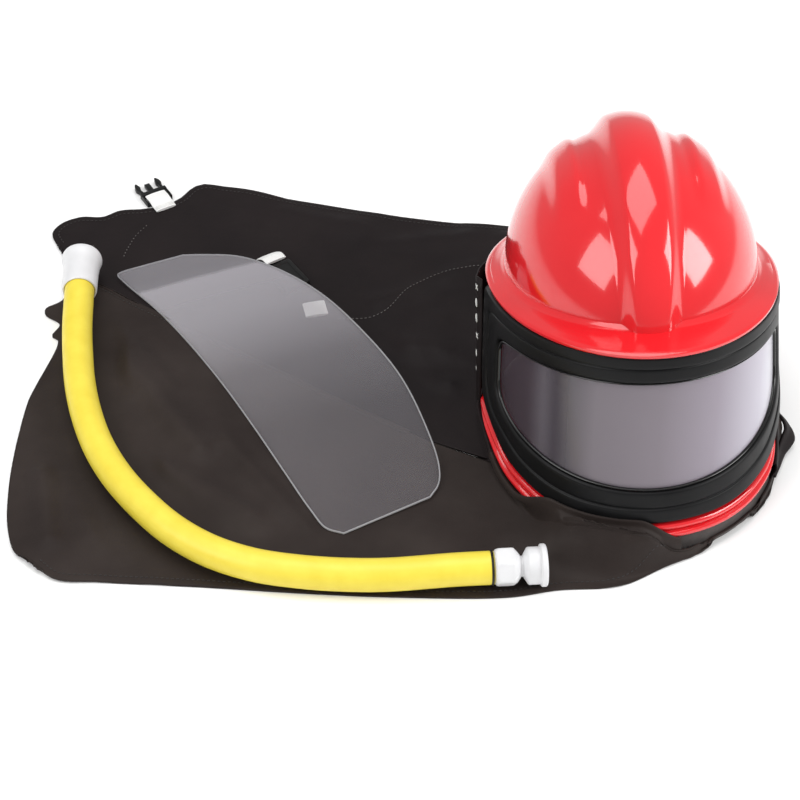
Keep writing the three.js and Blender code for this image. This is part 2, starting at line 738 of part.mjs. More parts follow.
// A cape panel between four edges. inner and outer run along the panel; start and end join them.
function capePanel(inner, outer, start, end, seamShift) {
  const columns = inner.length;
  const rows = start.length;
  const top = [];
  const bottom = [];
  for (let i = 0; i < columns; i++) {
    const u = i / (columns - 1);
    top.push([]);
    bottom.push([]);
    for (let j = 0; j < rows; j++) {
      const v = start.shares ? start.shares[j] : j / (rows - 1);
      const point = inner[i].clone().lerp(outer[i], v);
      const sides = start[j].clone().lerp(end[j], u);
      const nearEnds = start[0].clone().lerp(end[0], u);
      const farEnds = start[rows - 1].clone().lerp(end[rows - 1], u);
      point.add(sides).sub(nearEnds.lerp(farEnds, v));
      if (j === 0) point.y += seamShift;
      const height = capeHeight(point.x, point.y);
      const step = 0.5;
      const slopeX = (capeHeight(point.x + step, point.y) - height) / step;
      const slopeY = (capeHeight(point.x, point.y + step) - height) / step;
      const thickness = CLOTH * Math.min(2.2, Math.hypot(1, slopeX, slopeY));
      top[i].push(new THREE.Vector3(point.x, point.y, height));
      bottom[i].push(new THREE.Vector3(point.x, point.y, Math.max(0, height - thickness)));
    }
  }
  const sections = top.map((line, i) => [...line, ...bottom[i].slice().reverse()]);
  return loft(sections, false);
}

// The cape's edge along the collar between two bearings
function footRun(fromBearing, toBearing) {
  const points = [];
  const steps = 60;
  for (let step = 0; step <= steps; step++) {
    const bearing = lerp(radians(fromBearing), radians(toBearing), step / steps);
    const wrapped = Math.atan2(Math.sin(bearing), Math.cos(bearing));
    points.push(collarFoot(wrapped).setZ(0));
  }
  return points;
}

// Shares of the way along a row of points
function lengthShares(points) {
  const lengths = [0];
  for (let i = 1; i < points.length; i++) {
    lengths.push(lengths[i - 1] + points[i].distanceTo(points[i - 1]));
  }
  return lengths.map((length) => length / lengths[lengths.length - 1]);
}

function capeFrontGeometry() {
  const foot = footRun(SEAM_BEARING, RIGHT_BEARING - 1);
  const seam = smoothEdge(SEAM);
  const inner = spacedPoints([...seam, ...foot], FRONT_PANEL_STEPS);
  const outer = spacedPoints(smoothEdge(FRONT_HEM), FRONT_PANEL_STEPS, HEM_LAG);
  const start = FRONT_LEFT_EDGE.map(capePoint);
  start.shares = lengthShares(start);
  const end = start.shares.map((share) => inner[FRONT_PANEL_STEPS].clone().lerp(outer[FRONT_PANEL_STEPS], share));
  return capePanel(inner, outer, start, end, -CAPE_SEAM_GAP / 2);
}

function capeBackGeometry() {
  const foot = footRun(SEAM_BEARING - 1, RIGHT_BEARING - 360);
  const inner = spacedPoints([...smoothEdge(SEAM), ...foot], BACK_PANEL_STEPS);
  const outer = spacedPoints(smoothEdge(BACK_HEM), BACK_PANEL_STEPS, HEM_LAG);
  const start = spacedPoints(BACK_LEFT_EDGE.map(capePoint), BACK_PANEL_ROWS);
  const end = spacedPoints([inner[BACK_PANEL_STEPS], outer[BACK_PANEL_STEPS]], BACK_PANEL_ROWS);
  return capePanel(inner, outer, start, end, CAPE_SEAM_GAP / 2);
}

// Spare lens: a thin sheet ruled between its two edges, lying on the cape and propped on the buckle
function spareLensGeometry() {
  const bearing = radians(SPARE_BEARING);
  const alongX = Math.cos(bearing);
  const alongY = Math.sin(bearing);
  const ground = CLOTH + GAP;
  const place = capePoint(SPARE_PLACE);
  const at = (along, across, lift, thickness) =>
    new THREE.Vector3(
      place.x + along * SPARE_LENGTH * alongX - across * SPARE_WIDTH * alongY,
      place.y + along * SPARE_LENGTH * alongY + across * SPARE_WIDTH * alongX,
      ground + lift * SPARE_PROP + thickness,
    );
  const sections = SPARE_ROWS.map((row) => [
    at(row.leftAlong, row.left, row.leftLift, SPARE_THICKNESS),
    at(row.rightAlong, row.right, row.rightLift, SPARE_THICKNESS),
    at(row.rightAlong, row.right, row.rightLift, 0),
    at(row.leftAlong, row.left, row.leftLift, 0),
  ]);
  return loft(sections, false);
}

// Hose: a plain tube along its route
const hoseCurve = new THREE.CatmullRomCurve3(
  HOSE_ROUTE.map((row) => capePoint(row).setZ(row.z + CLOTH)),
  false,
  "centripetal",
);

function hoseGeometry() {
  const section = new THREE.Shape();
  for (let side = 0; side < HOSE_SIDES; side++) {
    const angle = (FULL_TURN * side) / HOSE_SIDES;
    const x = (Math.cos(angle) * HOSE_DIAMETER) / 2;
    const y = (Math.sin(angle) * HOSE_DIAMETER) / 2;
    if (side === 0) section.moveTo(x, y);
    else section.lineTo(x, y);
  }
  section.closePath();
  const steps = Math.round(hoseCurve.getLength() / (2 * HOSE_DIAMETER));
  return new THREE.ExtrudeGeometry(section, { steps, extrudePath: hoseCurve, bevelEnabled: false });
}

// A turned fitting along +Y of its own group, from rows of radius and place
function turnedGeometry(profile) {
  return new THREE.LatheGeometry(
    profile.map(({ radius, along }) => new THREE.Vector2(radius, along)),
    FITTING_SIDES,
  );
}

function hoseCupGeometry() {
  return turnedGeometry([
    { radius: 0, along: 0 },
    { radius: CUP_BODY_RADIUS - 2, along: 0 },
    { radius: CUP_BODY_RADIUS - 1, along: 2 },
    { radius: CUP_BODY_RADIUS, along: CUP_LENGTH * 0.3 },
    { radius: CUP_BODY_RADIUS + 0.5, along: CUP_LENGTH * 0.75 },
    { radius: CUP_MOUTH_RADIUS, along: CUP_LENGTH * 0.88 },
    { radius: CUP_MOUTH_RADIUS, along: CUP_LENGTH - 1 },
    { radius: CUP_MOUTH_RADIUS - 1, along: CUP_LENGTH },
    { radius: CUP_BORE_RADIUS, along: CUP_LENGTH },
    { radius: CUP_BORE_RADIUS, along: CUP_LENGTH - CUP_BORE_DEPTH },
    { radius: 0, along: CUP_LENGTH - CUP_BORE_DEPTH },
  ]);
}

function hoseCouplingGeometry() {
  const nut = COUPLING_RADIUS - 2.2;
  return turnedGeometry([
    { radius: 0, along: 0 },
    { radius: nut, along: 0 },
    { radius: nut + 1, along: 1 },
    { radius: nut + 1, along: COUPLING_LENGTH * 0.38 },
    { radius: COUPLING_NECK_RADIUS, along: COUPLING_LENGTH * 0.5 },
    { radius: nut, along: COUPLING_LENGTH * 0.6 },
    { radius: nut, along: COUPLING_LENGTH * 0.88 },
    { radius: COUPLING_RADIUS, along: COUPLING_LENGTH * 0.9 },
    { radius: COUPLING_RADIUS, along: COUPLING_LENGTH },
    { radius: COUPLING_BORE_RADIUS, along: COUPLING_LENGTH },
    { radius: COUPLING_BORE_RADIUS, along: COUPLING_LENGTH - COUPLING_BORE_DEPTH },
    { radius: 0, along: COUPLING_LENGTH - COUPLING_BORE_DEPTH },
  ]);
}

// Places a turned fitting with its base at a point and its axis along a direction
function placeFitting(mesh, base, direction) {
  const axis = direction.clone().normalize();
  mesh.quaternion.setFromUnitVectors(new THREE.Vector3(0, 1, 0), axis);
  mesh.position.copy(base).addScaledVector(axis, GAP);
}

// Male buckle half: two sprung prongs and a tongue on a cross bar, with a bar for the webbing
function maleBuckleGeometry() {
  const half = BUCKLE_WIDTH / 2;
  const shape = new THREE.Shape();
  const right = [
    { x: 0.24, y: MALE_LENGTH * 0.9 },
    { x: 0.24, y: MALE_LENGTH * 0.5 },
    { x: 0.6, y: MALE_LENGTH * 0.5 },
    { x: 0.66, y: MALE_LENGTH * 0.7 },
    { x: 0.56, y: MALE_LENGTH * 0.82 },
    { x: 0.72, y: MALE_LENGTH },
    { x: 0.98, y: MALE_LENGTH * 0.86 },
    { x: 1, y: MALE_LENGTH * 0.72 },
    { x: 0.86, y: MALE_LENGTH * 0.56 },
    { x: 1, y: MALE_LENGTH * 0.46 },
    { x: 1, y: MALE_LENGTH * 0.06 },
    { x: 0.94, y: 0 },
  ];
  const left = right
    .slice()
    .reverse()
    .map(({ x, y }) => ({ x: -x, y }));
  [...right, ...left].forEach(({ x, y }, index) => {
    if (index === 0) shape.moveTo(x * half, y);
    else shape.lineTo(x * half, y);
  });
  shape.closePath();
  const body = new THREE.ExtrudeGeometry(shape, { depth: BUCKLE_THICKNESS, bevelEnabled: false });
  const slot = new THREE.BoxGeometry(WEBBING_WIDTH + 2, MALE_LENGTH * 0.24, 3 * BUCKLE_THICKNESS);
  slot.translate(0, MALE_LENGTH * 0.22, 0);
  return toGeometry(toSolid(body).subtract(toSolid(slot)));
}

// Female buckle half: a flat sleeve with rounded corners
function femaleBuckleGeometry() {
  const half = BUCKLE_WIDTH / 2;
  const round = 4;
  const shape = new THREE.Shape();
  shape.moveTo(-half + round, 0);
  shape.lineTo(half - round, 0);
  shape.absarc(half - round, round, round, -Math.PI / 2, 0, false);
  shape.lineTo(half, FEMALE_LENGTH - round);
  shape.absarc(half - round, FEMALE_LENGTH - round, round, 0, Math.PI / 2, false);
  shape.lineTo(-half + round, FEMALE_LENGTH);
  shape.absarc(-half + round, FEMALE_LENGTH - round, round, Math.PI / 2, Math.PI, false);
  shape.lineTo(-half, round);
  shape.absarc(-half + round, round, round, Math.PI, Math.PI * 1.5, false);
  return new THREE.ExtrudeGeometry(shape, { depth: FEMALE_THICKNESS, bevelEnabled: false, curveSegments: 3 });
}

// A strip of webbing along +Y, bent over a row of points of place and height
function webbingGeometry(rows) {
  const half = WEBBING_WIDTH / 2;
  const sections = rows.map(({ along, height }) => [
    new THREE.Vector3(-half, along, height + WEBBING_THICKNESS),
    new THREE.Vector3(half, along, height + WEBBING_THICKNESS),
    new THREE.Vector3(half, along, height),
    new THREE.Vector3(-half, along, height),
  ]);
  return loft(sections, false);
}

// Finishes
const finish = (color, roughness, metalness = 0) =>
  new THREE.MeshStandardMaterial({ color, roughness, metalness });
const glossRed = () => finish(0xd8202a, 0.18);
const blackRubber = () => finish(0x1c1d1e, 0.55);
const cloth = (color) => finish(color, 0.8);
const clearSheet = () =>
  new THREE.MeshStandardMaterial({ color: 0xb9bcc0, roughness: 0.05, transparent: true, opacity: 0.4 });

function pieceOf(name, geometry, material) {
  const mesh = new THREE.Mesh(geometry, material);
  mesh.name = name;
  return mesh;
}

const helmet = new THREE.Group();
helmet.add(
  pieceOf("helmet_dome", helmetDomeGeometry(), glossRed()),
  pieceOf("face_shell", faceShellGeometry(), glossRed()),
  pieceOf("window_frame", windowFrameGeometry(), blackRubber()),
  pieceOf("window_gasket", windowGasketGeometry(), finish(0x0c0c0d, 0.2)),
  pieceOf("window_lens", windowLensGeometry(), clearSheet()),
  pieceOf("cape_collar", collarGeometry(), cloth(0x3a3836)),
);
helmet.rotation.copy(helmetTurn);
helmet.position.setFromMatrixPosition(helmetFrame);

const cape = new THREE.Group();
cape.add(
  pieceOf("cape_front", capeFrontGeometry(), cloth(0x403a37)),
  pieceOf("cape_back", capeBackGeometry(), cloth(0x2b2726)),
);

const hoseStart = hoseCurve.getPointAt(0);
const hoseEnd = hoseCurve.getPointAt(1);
const hoseCup = pieceOf("hose_cup", hoseCupGeometry(), finish(0xf2f2f2, 0.35));
placeFitting(hoseCup, hoseStart, hoseCurve.getTangentAt(0).negate());
const hoseCoupling = pieceOf("hose_coupling", hoseCouplingGeometry(), finish(0xf2f2f2, 0.35));
placeFitting(hoseCoupling, hoseEnd, hoseCurve.getTangentAt(1));
const airHose = new THREE.Group();
airHose.add(pieceOf("hose", hoseGeometry(), finish(0xf2e23c, 0.45)), hoseCup, hoseCoupling);

const spareLens = pieceOf("spare_lens", spareLensGeometry(), clearSheet());

// Male half, off the cape's far corner; its webbing is sewn on the cape's edge
const maleHalf = new THREE.Group();
maleHalf.position.copy(capePoint(MALE_PLACE));
maleHalf.rotation.z = radians(MALE_BEARING);
const maleBuckle = pieceOf("buckle_male", maleBuckleGeometry(), finish(0x161616, 0.4));
const maleWebbing = pieceOf(
  "webbing_male",
  webbingGeometry([
    { along: -13, height: CLOTH + GAP },
    { along: -6, height: CLOTH + GAP },
    { along: -1, height: BUCKLE_THICKNESS + GAP },
    { along: 13, height: BUCKLE_THICKNESS + GAP },
  ]),
  finish(0xf0f0f0, 0.8),
);
maleHalf.add(maleBuckle, maleWebbing);

// Female half, on the cape under the spare lens's raised edge
const femaleHalf = new THREE.Group();
femaleHalf.position.copy(capePoint(FEMALE_PLACE)).setZ(CLOTH + GAP);
femaleHalf.rotation.z = radians(FEMALE_BEARING);
const femaleBuckle = pieceOf("buckle_female", femaleBuckleGeometry(), finish(0x161616, 0.4));
const femaleWebbing = pieceOf(
  "webbing_female",
  webbingGeometry([
    { along: -20, height: 0 },
    { along: -15, height: 4 },
    { along: -8, height: FEMALE_THICKNESS },
    { along: -GAP, height: FEMALE_THICKNESS + GAP },
  ]),
  finish(0xf0f0f0, 0.8),
);
const tailWebbing = pieceOf(
  "webbing_tail",
  webbingGeometry([
    { along: FEMALE_LENGTH + TAIL_GAP, height: 0 },
    { along: FEMALE_LENGTH + TAIL_GAP + TAIL_LENGTH, height: 0 },
  ]),
  finish(0xf0f0f0, 0.8),
);
femaleHalf.add(femaleBuckle, femaleWebbing, tailWebbing);

const hood = new THREE.Group();
hood.add(helmet, cape, airHose, spareLens, maleHalf, femaleHalf);

export default hood;
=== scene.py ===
"""A sandblasting hood laid down: helmet, clear window, spread cape, air hose, spare lens and buckle."""

import logging
import math
from collections.abc import Callable, Sequence
from dataclasses import dataclass, field
from enum import Enum

import bmesh
import bpy
import numpy as np
from mathutils import Matrix, Vector, noise


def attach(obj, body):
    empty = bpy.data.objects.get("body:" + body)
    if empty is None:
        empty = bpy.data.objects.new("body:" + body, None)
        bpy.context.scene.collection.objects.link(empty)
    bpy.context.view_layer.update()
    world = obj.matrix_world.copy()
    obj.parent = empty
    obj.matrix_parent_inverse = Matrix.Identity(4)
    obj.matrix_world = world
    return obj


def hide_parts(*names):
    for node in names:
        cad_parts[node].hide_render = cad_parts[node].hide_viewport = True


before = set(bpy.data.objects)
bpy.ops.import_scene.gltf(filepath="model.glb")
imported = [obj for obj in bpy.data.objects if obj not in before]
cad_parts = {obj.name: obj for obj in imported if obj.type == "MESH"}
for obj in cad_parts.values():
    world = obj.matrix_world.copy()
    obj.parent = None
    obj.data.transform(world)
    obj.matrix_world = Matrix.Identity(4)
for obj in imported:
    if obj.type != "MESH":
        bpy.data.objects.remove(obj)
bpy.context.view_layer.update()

LOG = logging.getLogger("hood")
FULL_TURN = 2 * math.pi

# Where the helmet lies and how it is turned, in metres and degrees
HELMET_X = 0.1833
HELMET_Y = 0.0128
HELMET_LEAN = 17.3
HELMET_TURN = 1.4
HELMET_TILT = -2.1
RIM_LIFT = 0.007

# The cape's spread, and its cloth
CAPE_SPREAD = 0.51
CLOTH = 0.002
GAP = 0.0003

# How quickly the cloth drops from the collar: the power of the share of the way that is left
DRAPE_POWER = 2.2

# Edges of the cape's two panels, as shares of CAPE_SPREAD from the neck's middle
SEAM = (
    (-0.943, 0.272), (-0.892, 0.263), (-0.83, 0.22), (-0.776, 0.184), (-0.594, 0.061),
    (-0.441, -0.043), (-0.31, -0.125),
)
FRONT_LEFT_EDGE = (
    (-0.943, 0.272), (-0.949, 0.222), (-0.975, 0.2), (-0.973, 0.184), (-0.945, 0.159),
    (-0.955, 0.129), (-0.943, 0.118), (-0.971, -0.025), (-0.978, -0.141), (-0.976, -0.229),
    (-0.965, -0.314), (-0.945, -0.367), (-0.922, -0.382),
)
FRONT_HEM = (
    (-0.922, -0.382), (-0.878, -0.418), (-0.81, -0.422), (-0.659, -0.431), (-0.508, -0.443),
    (-0.359, -0.451), (-0.198, -0.451), (-0.123, -0.437), (-0.029, -0.429), (0.034, -0.396),
    (0.099, -0.362), (0.133, -0.328), (0.184, -0.29), (0.215, -0.25), (0.235, -0.2),
    (0.25, -0.152), (0.26, -0.1), (0.262, -0.045),
)
BACK_LEFT_EDGE = ((-0.943, 0.272), (-0.953, 0.31), (-0.967, 0.361))
BACK_HEM = (
    (-0.967, 0.361), (-0.98, 0.378), (-0.99, 0.406), (-0.976, 0.435), (-0.945, 0.453),
    (-0.904, 0.455), (-0.875, 0.473), (-0.833, 0.478), (-0.794, 0.488), (-0.767, 0.51),
    (-0.738, 0.545), (-0.543, 0.5), (-0.359, 0.455), (-0.163, 0.424), (-0.006, 0.43),
    (0.141, 0.367), (0.233, 0.249), (0.261, 0.092), (0.262, -0.045),
)

# Seams stitched across the rear panel, as shares of CAPE_SPREAD from the neck's middle
DOTTED_SEAM = ((-0.822, 0.428), (-0.838, 0.4), (-0.846, 0.375), (-0.852, 0.352), (-0.855, 0.334))
STITCHED_SEAM = (
    (-0.2, 0.31), (-0.242, 0.299), (-0.288, 0.283), (-0.341, 0.247), (-0.394, 0.181), (-0.471, 0.171),
)

# Hose route from the cup to the coupling; z counts from the top of the cape
HOSE_ROUTE = (
    (-0.283, 0.13, 0.0186), (-0.2815, 0.108, 0.0186), (-0.279, 0.072, 0.015), (-0.2745, 0.038, 0.0135),
    (-0.269, 0.006, 0.0135), (-0.26, -0.029, 0.0135), (-0.246, -0.067, 0.0135), (-0.227, -0.102, 0.0135),
    (-0.203, -0.134, 0.0135), (-0.176, -0.162, 0.0135), (-0.146, -0.183, 0.0135), (-0.112, -0.197, 0.0135),
    (-0.076, -0.204, 0.0135), (-0.042, -0.207, 0.0135), (-0.01, -0.2075, 0.014), (0.042, -0.205, 0.017),
    (0.071, -0.203, 0.017),
)

# Spare lens: straight lines across the sheet, from its left edge to its right edge. Each row holds
# along and across at the left, along and across at the right, and the lifts at the left and right.
SPARE_ROWS = (
    (-0.063, -0.3, -0.026, 0.075, 0.25, 0.62), (-0.062, -0.365, 0.005, 0.2, 0.2, 0.72),
    (-0.035, -0.36, 0.06, 0.38, 0.12, 0.85), (0.09, -0.297, 0.165, 0.54, 0.02, 1),
    (0.22, -0.268, 0.29, 0.647, 0, 1), (0.38, -0.262, 0.44, 0.693, 0, 0.88),
    (0.54, -0.28, 0.6, 0.69, 0, 0.68), (0.7, -0.31, 0.745, 0.61, 0, 0.46),
    (0.83, -0.333, 0.87, 0.495, 0, 0.26), (0.89, -0.328, 0.913, 0.413, 0, 0.16),
    (0.922, -0.262, 0.933, 0.318, 0, 0.1),
)

# Soft folds in the cape: from x, from y, to x, to y in metres, height and half width
CAPE_FOLDS = (
    (-0.185, 0.284, -0.147, 0.225, 0.004, 0.012),
    (-0.246, 0.224, -0.218, 0.178, 0.0035, 0.012),
    (-0.205, 0.262, -0.243, 0.236, 0.003, 0.014),
    (0.066, 0.168, -0.05, 0.102, 0.0045, 0.016),
    (0.03, 0.06, -0.03, 0.045, 0.005, 0.02),
    (0.04, 0.015, -0.035, 0.03, 0.004, 0.014),
    (0.05, 0.12, 0.0, 0.06, 0.003, 0.02),
    (-0.02, 0.2, 0.06, 0.215, 0.003, 0.018),
    (-0.11, 0.25, -0.03, 0.225, 0.003, 0.02),
    (0.02, -0.07, 0.088, -0.118, 0.008, 0.012),
    (0.036, -0.112, 0.108, -0.165, 0.008, 0.011),
    (0.002, -0.095, 0.05, -0.158, 0.007, 0.011),
    (0.125, -0.187, 0.17, -0.179, 0.005, 0.008),
    (0.17, -0.179, 0.232, -0.153, 0.006, 0.008),
    (-0.19, -0.085, -0.12, -0.135, 0.006, 0.016),
    (-0.25, 0.09, -0.2, 0.02, 0.003, 0.02),
    (-0.235, 0.04, -0.165, -0.06, 0.006, 0.015),
    (-0.14, -0.05, -0.07, -0.14, 0.006, 0.013),
    (-0.29, -0.09, -0.275, -0.16, 0.005, 0.013),
    (0.183, 0.225, 0.26, 0.15, 0.004, 0.02),
    (0.1, 0.21, 0.16, 0.15, 0.004, 0.02),
)


# Where the cape stays flat under what lies on it: from x, from y, to x, to y and half width,
# for the spare lens, the female buckle, the male buckle, the coupling and the cup
CAPE_RESTS = (
    (-0.2, 0.195, 0.03, -0.14, 0.078),
    (-0.135, 0.205, -0.07, 0.1, 0.034),
    (-0.24, 0.27, -0.2, 0.25, 0.026),
    (0.06, -0.205, 0.125, -0.2, 0.024),
    (-0.283, 0.125, -0.286, 0.165, 0.024),
)


class Slot(Enum):
    """The record's material slots."""

    SHELL = "shell_red"
    FRAME = "frame_black"
    GASKET = "gasket_black"
    LENS = "lens_clear"
    COLLAR = "cloth_collar"
    CAPE_FRONT = "cloth_front"
    CAPE_BACK = "cloth_back"
    HOSE = "hose_yellow"
    FITTING = "fitting_white"
    BUCKLE = "buckle_black"
    WEBBING = "webbing_white"


Form = bmesh.types.BMesh
Colour = tuple[float, float, float]
Line = Sequence[Vector]
Pair = tuple[float, float]
Place = tuple[float, float, float, float]
Socket = bpy.types.NodeSocket


def mix(start: float, end: float, share: float) -> float:
    """Returns the value a share of the way from start to end."""
    return start + (end - start) * share


def smooth_step(value: float, low: float, high: float) -> float:
    """Returns 0 below low, 1 above high and a smooth rise between them."""
    share = min(1.0, max(0.0, (value - low) / (high - low)))
    return share * share * (3 - 2 * share)


def catmull(points: Line, steps: int) -> list[Vector]:
    """Draws a smooth open curve through points.

    Args:
        points: The points that the curve passes through.
        steps: How many steps the curve has between two points.

    Returns:
        The curve's points, with the first and last of the given ones.
    """
    ends = [points[0] * 2 - points[1], *points, points[-1] * 2 - points[-2]]
    curve = []
    for index in range(len(points) - 1):
        before, here, there, after = ends[index : index + 4]
        knots = [0.0]
        for a, b in ((before, here), (here, there), (there, after)):
            knots.append(knots[-1] + max(1e-6, (b - a).length) ** 0.5)
        for step in range(steps):
            at = mix(knots[1], knots[2], step / steps)

            def between(a: Vector, b: Vector, low: float, high: float) -> Vector:
                """Returns the point between a and b for the knot value."""
                return a * ((high - at) / (high - low)) + b * ((at - low) / (high - low))

            first = between(before, here, knots[0], knots[1])
            second = between(here, there, knots[1], knots[2])
            third = between(there, after, knots[2], knots[3])
            near = between(first, second, knots[0], knots[2])
            far = between(second, third, knots[1], knots[3])
            curve.append(between(near, far, knots[1], knots[2]))
    return [*curve, points[-1].copy()]


def spaced(points: Line, steps: int) -> list[Vector]:
    """Sets points at even distances along a line of points.

    Args:
        points: The line's own points.
        steps: How many steps the result has.

    Returns:
        The new points.
    """
    lengths = np.cumsum([0.0] + [(b - a).length for a, b in zip(points, points[1:])])
    table = np.array([tuple(point) for point in points])
    wanted = lengths[-1] * (np.arange(steps + 1) / steps)
    columns = [np.interp(wanted, lengths, table[:, axis]) for axis in range(3)]
    return [Vector(row) for row in zip(*columns)]


def linked(name: str, data: bpy.types.ID) -> bpy.types.Object:
    """Returns a new object of the data, linked into the scene."""
    piece = bpy.data.objects.new(name, data)
    bpy.context.scene.collection.objects.link(piece)
    return piece


def cut_corners(points: Sequence[Pair], rounds: int) -> list[Pair]:
    """Rounds the corners of a closed outline by cutting them off.

    Args:
        points: The outline's corners.
        rounds: How often every corner is cut.

    Returns:
        The outline with more, softer corners.
    """
    outline = [tuple(point) for point in points]
    for _ in range(rounds):
        softer = []
        for (ax, ay), (bx, by) in zip(outline, outline[1:] + outline[:1]):
            softer.append((mix(ax, bx, 0.25), mix(ay, by, 0.25)))
            softer.append((mix(ax, bx, 0.75), mix(ay, by, 0.75)))
        outline = softer
    return outline


def lofted(sections: Sequence[Line], ring: bool, closed: bool) -> Form:
    """Moves a grid on to sections.

    Args:
        sections: Rows of points, all of one length.
        ring: Whether the last section joins the first.
        closed: Whether each section's last point joins its first.

    Returns:
        The skin over the sections, its doubles merged.
    """
    columns = len(sections) if ring else len(sections) - 1
    rows = len(sections[0]) if closed else len(sections[0]) - 1
    form = bmesh.new()
    bmesh.ops.create_grid(form, x_segments=columns, y_segments=rows, size=0.5)
    for vertex in form.verts:
        column = round((vertex.co.x + 0.5) * columns) % len(sections)
        row = round((vertex.co.y + 0.5) * rows) % len(sections[0])
        vertex.co = sections[column][row]
    bmesh.ops.remove_doubles(form, verts=form.verts, dist=1e-6)
    return form


def skinned(sections: Sequence[Line], ring: bool, closed: bool) -> Form:
    """Returns lofted's skin with its faces turned one way; the arguments are those of lofted."""
    form = lofted(sections, ring, closed)
    bmesh.ops.recalc_face_normals(form, faces=form.faces)
    return form


def faced_up(form: Form) -> Form:
    """Turns an open sheet's faces so that most of them look up."""
    bmesh.ops.recalc_face_normals(form, faces=form.faces)
    form.normal_update()
    if sum(face.normal.z * face.calc_area() for face in form.faces) < 0:
        bmesh.ops.reverse_faces(form, faces=form.faces)
    return form


def rounded_bar(form: Form, size: Vector, place: Matrix, rounding: float, segments: int = 2) -> None:
    """Adds a box with rounded edges to a form.

    Args:
        form: The form that gets the box.
        size: The box's length along each axis.
        place: Where the box's middle goes and how it turns.
        rounding: The radius of its edges.
        segments: How many faces each rounding has.
    """
    made = bmesh.ops.create_cube(form, size=1.0, matrix=place @ Matrix.Diagonal((*size, 1.0)))
    edges = list({edge for vertex in made["verts"] for edge in vertex.link_edges})
    bmesh.ops.bevel(
        form, geom=edges, offset=rounding, segments=segments, affect="EDGES", profile=0.5, material=-1,
        clamp_overlap=True,
    )


def turned(profile: Sequence[Pair], steps: int) -> Form:
    """Spins a profile round the Y axis.

    Args:
        profile: Pairs of radius and place along Y, starting and ending on the axis.
        steps: How many faces go round.

    Returns:
        The closed turned form.
    """
    form = bmesh.new()
    points = [form.verts.new((radius, along, 0)) for radius, along in profile]
    for a, b in zip(points, points[1:]):
        form.edges.new((a, b))
    bmesh.ops.spin(
        form, geom=[*form.verts, *form.edges], cent=(0, 0, 0), axis=(0, 1, 0), angle=FULL_TURN,
        steps=steps, use_merge=True,
    )
    bmesh.ops.remove_doubles(form, verts=form.verts, dist=1e-6)
    bmesh.ops.recalc_face_normals(form, faces=form.faces)
    return form


def add_thread(
    form: Form, middle: Vector, run: Vector, size: tuple[float, float, float], rounds: int = 1,
) -> None:
    """Adds a ball stretched along run, for a thread; size is half its length, width and height."""
    turn = run.to_track_quat("X", "Z").to_matrix().to_4x4()
    place = Matrix.Translation(middle) @ turn @ Matrix.Diagonal((*size, 1))
    bmesh.ops.create_icosphere(form, subdivisions=rounds, radius=1.0, matrix=place)


def stitch_run(line: Line, length: float, pitch: float, radius: float) -> Form:
    """Sews a row of stitches along a line.

    Args:
        line: The points that the thread follows, on the cloth.
        length: One stitch's length.
        pitch: The distance from one stitch to the next.
        radius: The thread's radius.

    Returns:
        A form of small rounded stitches.
    """
    form = bmesh.new()
    total = sum((b - a).length for a, b in zip(line, line[1:]))
    marks = spaced(line, max(2, round(total / pitch)))
    for a, b in zip(marks, marks[1:]):
        add_thread(form, a, b - a, (length / 2, radius, radius))
    return form


